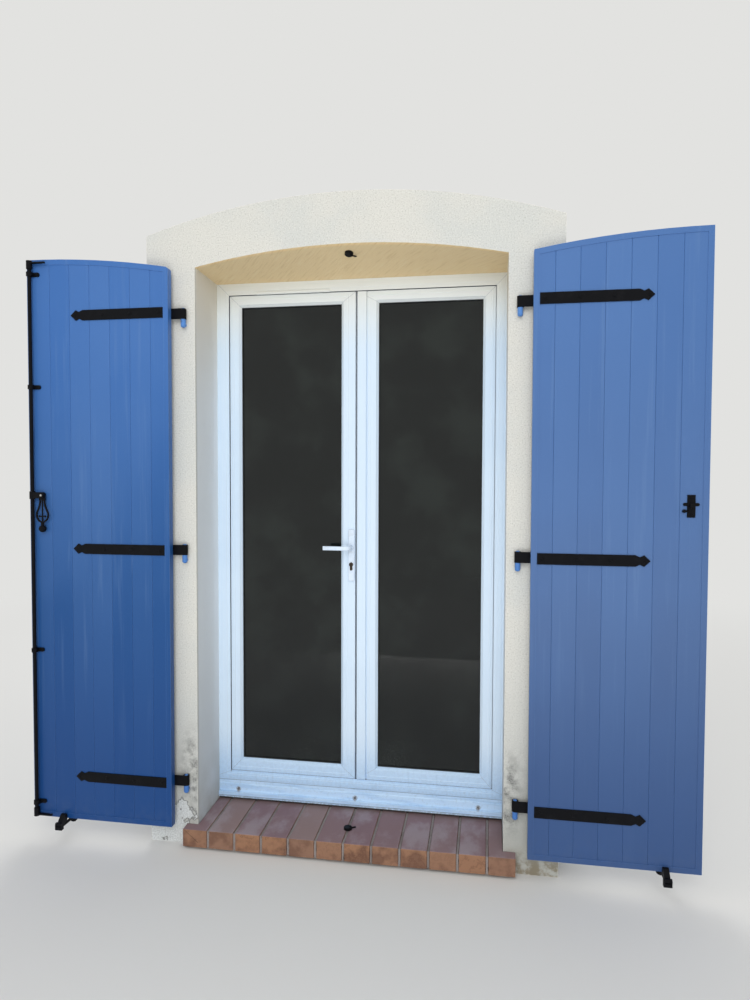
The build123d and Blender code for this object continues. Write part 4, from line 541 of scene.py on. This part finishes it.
dress(render_finish, "surround")
dress(brick_finish, "sill_bricks")
dress(mortar_finish, "sill_mortar")
dress(frame_finish, "door_frame")
dress(threshold_finish, "threshold")
dress(plain_white, "trickle_vent", "astragal", "frame_hinge_halves")
dress(seal_finish, "frame_gasket")
dress(pale_seal_finish, "meeting_gasket")
dress(enamel_finish, "handle_plates", "lever_outside", "lever_inside")
dress(zinc_finish, "threshold_screws", "frame_anchors", "lock_faceplate", "handle_spindle")
dress(nickel_finish, "lock_cylinder")
dress(rivet_finish, "handle_rivet")
dress(pintle_finish, "shutter_pintles")
for side in SIDES:
    dress(leaf_finish[side], f"{side}_sash", f"{side}_glazing_beads")
    dress(plain_white, f"{side}_leaf_hinges")
    dress(seal_finish, f"{side}_glazing_gasket")
    dress(glass_finish, f"{side}_panes")
    dress(spacer_finish, f"{side}_spacer")
    dress(board_finish[side], f"{side}_boards")
    dress(profile_finish[side], f"{side}_edge_profile")
    dress(black_finish, f"{side}_strap_hinges", f"{side}_counter_plates")
    dress(black_finish, f"{side}_strap_bolts", f"{side}_strap_nuts", f"{side}_holdback_nose")
dress(black_finish, "closing_stops", "holdback_bases", "holdback_pins", "handle_keeper", "keeper_screws")
dress(black_finish, "espagnolette_guides", "guide_screws", "espagnolette_rod")
dress(black_finish, "espagnolette_hooks", "espagnolette_lug", "espagnolette_handle")


def shaped(name, shape):
    """The mesh of a shape, which is freed."""
    mesh = bpy.data.meshes.new(name)
    shape.to_mesh(mesh)
    shape.free()
    return mesh


def shown(name, data):
    """An object in the scene, at the origin."""
    made = bpy.data.objects.new(name, data)
    scene.collection.objects.link(made)
    return made


def joined(name, meshes, finish, body, slot, *stands_for):
    """One piece from several meshes, riding on a body."""
    whole = bmesh.new()
    for mesh in meshes:
        whole.from_mesh(mesh)
    merged = shaped(name, whole)
    merged.materials.clear()
    merged.materials.append(finish.material)
    piece = shown(name, merged)
    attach(piece, body)
    if stands_for:
        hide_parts(*stands_for)


# Blocks of brick and mortar, which may chip within this width of an arris
ARRIS_WIDTH = 0.0035


def cast(name, plan, bottom, top, ease, cell):
    """A solid over a plan, up to a height that depends on depth, with eased edges and cut into cells.

    Points near to two or more sides of its box are marked as an arris, so that they can chip.
    """
    shape = bmesh.new()
    foot = shape.faces.new([shape.verts.new((x, y, bottom)) for x, y in plan])
    for part in bmesh.ops.extrude_face_region(shape, geom=[foot])["geom"]:
        if isinstance(part, bmesh.types.BMVert):
            part.co.z = top(part.co.y)
    bmesh.ops.recalc_face_normals(shape, faces=shape.faces)
    bmesh.ops.bevel(shape, geom=shape.edges[:], offset=ease, segments=2, profile=0.5, affect="EDGES")
    left, right = min(x for x, _ in plan), max(x for x, _ in plan)
    front, back = min(y for _, y in plan), max(y for _, y in plan)
    for axis, start, end in ((0, left, right), (1, front, back), (2, bottom, top(back))):
        cuts = round((end - start) / cell)
        for k in range(1, cuts):
            at, across = Vector(), Vector()
            at[axis] = start + (end - start) * k / cuts
            across[axis] = 1.0
            parts = shape.verts[:] + shape.edges[:] + shape.faces[:]
            bmesh.ops.bisect_plane(shape, geom=parts, plane_co=at, plane_no=across, dist=1e-6)
    arris = shape.verts.layers.float.new("arris")
    for vert in shape.verts:
        x, y, z = vert.co
        gaps = (x - left, right - x, y - front, back - y, z - bottom, top(y) - z)
        vert[arris] = 1.0 if sum(gap < ARRIS_WIDTH for gap in gaps) > 1 else 0.0
    for face in shape.faces:
        face.smooth = True
    return shown(name, shaped(name, shape))


def row_of_blocks():
    """The tree that lays a block in a row, dents it and chips its arrises, and its inputs by name."""
    tree = bpy.data.node_groups.new("laid_in_a_row", "GeometryNodeTree")
    tree.interface.new_socket("Geometry", in_out="INPUT", socket_type="NodeSocketGeometry")
    tree.interface.new_socket("Geometry", in_out="OUTPUT", socket_type="NodeSocketGeometry")
    inputs = {}
    for label, kind in (
        ("Count", "Int"),
        ("Pitch", "Float"),
        ("Unevenness", "Float"),
        ("Chip Depth", "Float"),
        ("Seed", "Float"),
        ("Finish", "Material"),
    ):
        made = tree.interface.new_socket(label, in_out="INPUT", socket_type=f"NodeSocket{kind}")
        inputs[label] = made.identifier
    lay = Wiring(tree)
    given = lay.outputs(lay.node("NodeGroupInput"))

    apart = lay.node("ShaderNodeCombineXYZ", sockets={0: given["Pitch"]})
    points = lay.node("GeometryNodeMeshLine", {"mode": "OFFSET"}, {"Count": given["Count"], "Offset": apart})
    row = lay.node("GeometryNodeInstanceOnPoints", None, {"Points": points, "Instance": given["Geometry"]})
    row = lay.node("GeometryNodeRealizeInstances", None, {"Geometry": row})

    spot = lay.node("GeometryNodeInputPosition")

    def seeded_noise(seed, scale, detail):
        sockets = {"Vector": spot, "W": seed, "Scale": scale, "Detail": detail}
        return lay.node("ShaderNodeTexNoise", {"noise_dimensions": "4D"}, sockets)

    dents = seeded_noise(given["Seed"], 38.0, 3.0)
    flaws = seeded_noise(given["Seed"] + 7.0, 55.0, 2.0)
    arris = lay.node("GeometryNodeInputNamedAttribute", {"data_type": "FLOAT"}, {"Name": "arris"})
    chips = lay.largest(flaws - 0.56, 0.0) * 6.0 * arris
    sunk = dents * given["Unevenness"] + chips * given["Chip Depth"]
    outward = lay.node("GeometryNodeInputNormal")
    inward = lay.node("ShaderNodeVectorMath", {"operation": "SCALE"}, {0: outward, "Scale": -sunk})
    row = lay.node("GeometryNodeSetPosition", None, {"Geometry": row, "Offset": inward})
    row = lay.node("GeometryNodeRealizeInstances", None, {"Geometry": row})
    row = lay.node("GeometryNodeSetMaterial", None, {"Geometry": row, "Material": given["Finish"]})
    lay.node("NodeGroupOutput", None, {"Geometry": row})
    return tree, inputs


row_tree, row_inputs = row_of_blocks()


def laid(block, finish, unevenness, chip_depth, count=1):
    """The mesh of a row of copies of a block, worn and finished. The block is removed."""
    modifier = block.modifiers.new("row", "NODES")
    modifier.node_group = row_tree
    values = {
        "Count": count,
        "Pitch": BRICK_PITCH,
        "Unevenness": unevenness,
        "Chip Depth": chip_depth,
        "Seed": 3.0,
        "Finish": finish.material,
    }
    for label, value in values.items():
        modifier[row_inputs[label]] = value
    bpy.context.view_layer.update()
    mesh = bpy.data.meshes.new_from_object(block.evaluated_get(bpy.context.evaluated_depsgraph_get()))
    bpy.data.objects.remove(block)
    return mesh


def sill_height(y):
    """The height of the bricks' tops at a depth."""
    return NOSE_HEIGHT + SILL_SLOPE * (y - SILL_FRONT)


def oblong(left, right, front, back):
    """Plan of a rectangle, anticlockwise from above."""
    return [(left, front), (right, front), (right, back), (left, back)]


# The bricks of the sill again, with worn arrises. The end bricks are notched round the surround's legs
OPENING_HALF, NOTCH_HALF = 0.6, 0.599
second_brick = -SILL_HALF + BRICK_PITCH


def end_plan(side):
    """Plan of an end brick, anticlockwise from above."""
    outer, inner, leg = side * SILL_HALF, side * (SILL_HALF - BRICK_WIDTH), side * NOTCH_HALF
    nose = [(inner, SILL_FRONT), (outer, SILL_FRONT), (outer, 0.0)]
    plan = [*nose, (leg, 0.0), (leg, SILL_BACK), (inner, SILL_BACK)]
    return plan if side > 0 else plan[::-1]


def worn_brick(name, plan, count=1):
    block = cast(name, plan, BED_TOP, sill_height, ease=0.0016, cell=0.008)
    return laid(block, brick_finish, unevenness=0.0009, chip_depth=0.0022, count=count)


middle_plan = oblong(second_brick, second_brick + BRICK_WIDTH, SILL_FRONT, SILL_BACK)
brick_meshes = [
    worn_brick("left_end_brick", end_plan(-1)),
    worn_brick("middle_brick", middle_plan, BRICK_COUNT - 2),
    worn_brick("right_end_brick", end_plan(1)),
]
joined("brick_row", brick_meshes, brick_finish, "wall_frame", "brick", "sill_bricks")

# Sandy mortar: joints sunk a little between the bricks, the bed, short of their fronts, and the upstand
JOINT_RECESS, BED_RECESS = 0.003, 0.020
bed_half, bed_front = placed((SILL_HALF - BED_RECESS, SILL_FRONT + BED_RECESS))
upstand_back = placed(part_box("sill_mortar")[1])[1]
joint_plan = oblong(second_brick - JOINT_WIDTH, second_brick, SILL_FRONT + JOINT_RECESS, SILL_BACK)
left_of_bed = [(-OPENING_HALF, 0.0), (-bed_half, 0.0), (-bed_half, bed_front)]
right_of_bed = [(-x, y) for x, y in reversed(left_of_bed)]
bed_plan = [*left_of_bed, *right_of_bed, (OPENING_HALF, SILL_BACK), (-OPENING_HALF, SILL_BACK)]
upstand_plan = oblong(frame_left, frame_right, SILL_BACK, upstand_back)
joint = cast("joint", joint_plan, BED_TOP, lambda y: sill_height(y) - JOINT_RECESS, ease=0.0008, cell=0.006)
bed = cast("bed", bed_plan, 0.0, lambda y: BED_TOP, ease=0.001, cell=0.02)
upstand = cast("upstand", upstand_plan, 0.0, lambda y: threshold_low.z, ease=0.002, cell=0.015)
mortar_meshes = [
    laid(joint, mortar_finish, unevenness=0.0014, chip_depth=0.002, count=BRICK_COUNT - 1),
    laid(bed, mortar_finish, unevenness=0.0010, chip_depth=0.001),
    laid(upstand, mortar_finish, unevenness=0.0016, chip_depth=0.003),
]
joined("mortar_joints", mortar_meshes, mortar_finish, "wall_frame", "mortar", "sill_mortar")


def moulding(name, outer, inner, back, proud=0.0014, bevel=0.0010):
    """A mitred raised strip between two rectangles, standing proud of the face at depth back."""
    front = back - proud
    section = ((outer, 0.0, back), (outer, bevel, front), (inner, -bevel, front), (inner, 0.0, back))
    shape = bmesh.new()
    rings = []
    for rectangle, inset, y in section:
        left, right, bottom, top = grown(rectangle, -inset)
        corners = ((left, y, bottom), (right, y, bottom), (right, y, top), (left, y, top))
        rings.append([shape.verts.new(corner) for corner in corners])
    for ring, following in zip(rings, rings[1:] + rings[:1]):
        for i in range(4):
            j = (i + 1) % 4
            shape.faces.new((ring[i], ring[j], following[j], following[i]))
    bmesh.ops.recalc_face_normals(shape, faces=shape.faces)
    return shaped(name, shape)


# Raised steps of the white profiles, round the fixed frame and each leaf, clear of the handle's plate
FRAME_FACE, LEAF_FACE = 0.225, 0.230
FRAME_STEP_START, FRAME_STEP_END = 0.032, 0.014
STEP_INSET, LEAF_STEP_WIDTH = 0.008, 0.010
step_outer, step_inner = grown(frame_inner, FRAME_STEP_START), grown(frame_inner, FRAME_STEP_END)
frame_step = moulding("frame_step", step_outer, step_inner, FRAME_FACE)
joined("frame_profile_step", [frame_step], frame_finish, "wall_frame", "white_pvc")
beside_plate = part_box("handle_plates")[0].x - 0.0015
beside_astragal = outline("astragal")[1] + 0.009
step_inset = {side: grown(leaf_outer[side], -STEP_INSET) for side in SIDES}
leaf_step = {
    "left": (step_inset["left"][0], beside_plate, *step_inset["left"][2:]),
    "right": (beside_astragal, *step_inset["right"][1:]),
}
for side in SIDES:
    step = moulding("leaf_step", leaf_step[side], grown(leaf_step[side], -LEAF_STEP_WIDTH), LEAF_FACE)
    joined(f"{side}_leaf_profile_step", [step], leaf_finish[side], f"{side}_leaf", "white_pvc")


def turned(name, start, end, radii, sides=20):
    """A turned piece between two points, its radii at equal steps along it."""
    start, end = Vector(start), Vector(end)
    along = (end - start).normalized()
    across = along.orthogonal().normalized()
    beside = along.cross(across)
    angles = [2 * math.pi * i / sides for i in range(sides)]
    shape = bmesh.new()
    rings = []
    for k, radius in enumerate(radii):
        middle = start.lerp(end, k / (len(radii) - 1))
        spokes = [across * math.cos(angle) + beside * math.sin(angle) for angle in angles]
        rings.append([shape.verts.new(middle + spoke * radius) for spoke in spokes])
    for ring, following in zip(rings, rings[1:]):
        for i in range(sides):
            j = (i + 1) % sides
            shape.faces.new((ring[i], ring[j], following[j], following[i])).smooth = True
    shape.faces.new(rings[0][::-1])
    shape.faces.new(rings[-1])
    bmesh.ops.recalc_face_normals(shape, faces=shape.faces)
    return shaped(name, shape)


# The little catch pegs on the two stops
PEG_RADII = (0.0030, 0.0028, 0.0026, 0.0034, 0.0022)
PEG_START, PEG_END = 0.008, 0.031
stops_low, stops_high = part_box("closing_stops")
sill_peg_z, head_peg_z = stops_low.z + 0.0402, stops_high.z - 0.0455
peg_ends = {
    "sill_peg": ((PEG_START, 0.057, sill_peg_z), (PEG_END, 0.060, sill_peg_z + 0.004)),
    "head_peg": ((PEG_START, 0.055, head_peg_z), (PEG_END, 0.052, head_peg_z - 0.006)),
}
pegs = [turned(name, start, end, PEG_RADII) for name, (start, end) in peg_ends.items()]
joined("stop_pegs", pegs, black_finish, "wall_frame", "black_steel")

# The knob at the left of the keeper
KNOB_RADII = (0.0040, 0.0036, 0.0034, 0.0052, 0.0062, 0.0056, 0.0030)
keeper_low, keeper_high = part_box("handle_keeper")
keeper_x = (keeper_low.x + keeper_high.x) / 2
knob_y, knob_z = keeper_high.y - 0.0035, keeper_low.z + 0.022
knob_start = (keeper_x - 0.010, knob_y, knob_z)
knob_end = (keeper_x - 0.030, knob_y - 0.003, knob_z)
knob = turned("knob", knob_start, knob_end, KNOB_RADII)
joined("keeper_knob", [knob], black_finish, "right_shutter", "black_steel")

# The lip of the seal that half fills the slit between the leaves
meeting_edge, _, leaf_foot, leaf_head = leaf_outer["right"]
lip_outer = (meeting_edge - 0.0036, meeting_edge + 0.0002, leaf_foot + 0.005, leaf_head - 0.005)
lip_inner = (lip_outer[0] + 0.0014, lip_outer[1] - 0.0014, lip_outer[2] + 0.002, lip_outer[3] - 0.002)
lip = moulding("seal_lip", lip_outer, lip_inner, LEAF_FACE + 0.004, proud=0.0022, bevel=0.0004)
joined("meeting_lip", [lip], pale_seal_finish, "right_leaf", "white_pvc")

# Pale floor, which fades into the pale surroundings where it is looked at, and plain soft light
PALE = linear(226, 226, 224)
FLOOR_HALF = 40
FADE_START, FADE_END = 2.2, 7.0
SOFT_LIGHT = 0.74


def pale_floor():
    """Matt floor. Far off, where the camera or a reflection sees it, an even glow takes its place."""
    f = Finish("pale_floor", linear(222, 222, 220), rough=0.9, Specular_IOR_Level=0.1).done()
    away = f.math("SQRT", f.x * f.x + f.y * f.y)
    sight = f.outputs(f.node("ShaderNodeLightPath"))
    looked_at = f.largest(sight["Is Camera Ray"], sight["Is Glossy Ray"])
    matt = Wire(f, f.shader.outputs["BSDF"])
    glow = f.node("ShaderNodeEmission", None, {"Color": PALE})
    fade = f.span(away, FADE_START, FADE_END) * looked_at
    faded = f.node("ShaderNodeMixShader", None, {0: fade, 1: matt, 2: glow})
    f.feed(f.tree.nodes["Material Output"].inputs["Surface"], faded)
    return f


floor_mesh = bpy.data.meshes.new("floor")
floor_corners = [(x, y, 0) for x, y in oblong(-FLOOR_HALF, FLOOR_HALF, -FLOOR_HALF, FLOOR_HALF)]
floor_mesh.from_pydata(floor_corners, [], [(0, 1, 2, 3)])
floor = shown("floor", floor_mesh)
floor_mesh.materials.append(pale_floor().material)

world = bpy.data.worlds.new("studio")
scene.world = world
world.use_nodes = True
studio = Wiring(world.node_tree)
studio.tree.nodes.clear()
sight = studio.outputs(studio.node("ShaderNodeLightPath"))
seen = studio.largest(sight["Is Camera Ray"], sight["Is Glossy Ray"], sight["Is Transmission Ray"])
pale = studio.node("ShaderNodeBackground", None, {"Color": PALE, "Strength": 1.0})
soft = studio.node("ShaderNodeBackground", None, {"Color": (1, 1, 1, 1), "Strength": SOFT_LIGHT})
backdrop = studio.node("ShaderNodeMixShader", None, {0: seen, 1: soft, 2: pale})
studio.node("ShaderNodeOutputWorld", None, {"Surface": backdrop})


def soft_box(name, place, aim, size, power):
    """A large soft lamp that looks from place to aim, hidden from the camera and from reflections."""
    lamp = bpy.data.lights.new(name, "AREA")
    lamp.shape = "SQUARE"
    lamp.size = size
    lamp.energy = power
    holder = shown(name, lamp)
    holder.location = place
    holder.rotation_mode = "QUATERNION"
    holder.rotation_quaternion = (Vector(aim) - Vector(place)).to_track_quat("-Z", "Y")
    holder.visible_glossy = False
    holder.visible_camera = False


soft_box("key_light", place=(0.6, -5.4, 4.2), aim=(0, 0, 1.2), size=3.5, power=122)
soft_box("floor_bounce", place=(0.1, -2.6, 0.15), aim=(0, 0.1, 2.4), size=1.6, power=36)
soft_box("back_light", place=(-1.5, 5.2, 4.0), aim=(0, 0.3, 1.2), size=3.5, power=110)

# The camera's place and turn, solved from the outlines in the photograph
camera_data = bpy.data.cameras.new("front_camera")
camera_data.sensor_width = 36
camera_data.lens = 24.915
camera = shown("front_camera", camera_data)
scene.camera = camera
view_right = Vector((0.98685, 0.1616, 0.00311))
view_up = Vector((-0.00895, 0.03543, 0.99933))
view_forward = Vector((-0.16139, 0.98622, -0.03641))
camera.rotation_mode = "QUATERNION"
camera.rotation_quaternion = Matrix((view_right, view_up, -view_forward)).transposed().to_quaternion()
camera.location = (0.53395, -2.57142, 1.47963)
scene.view_settings.view_transform = "Standard"
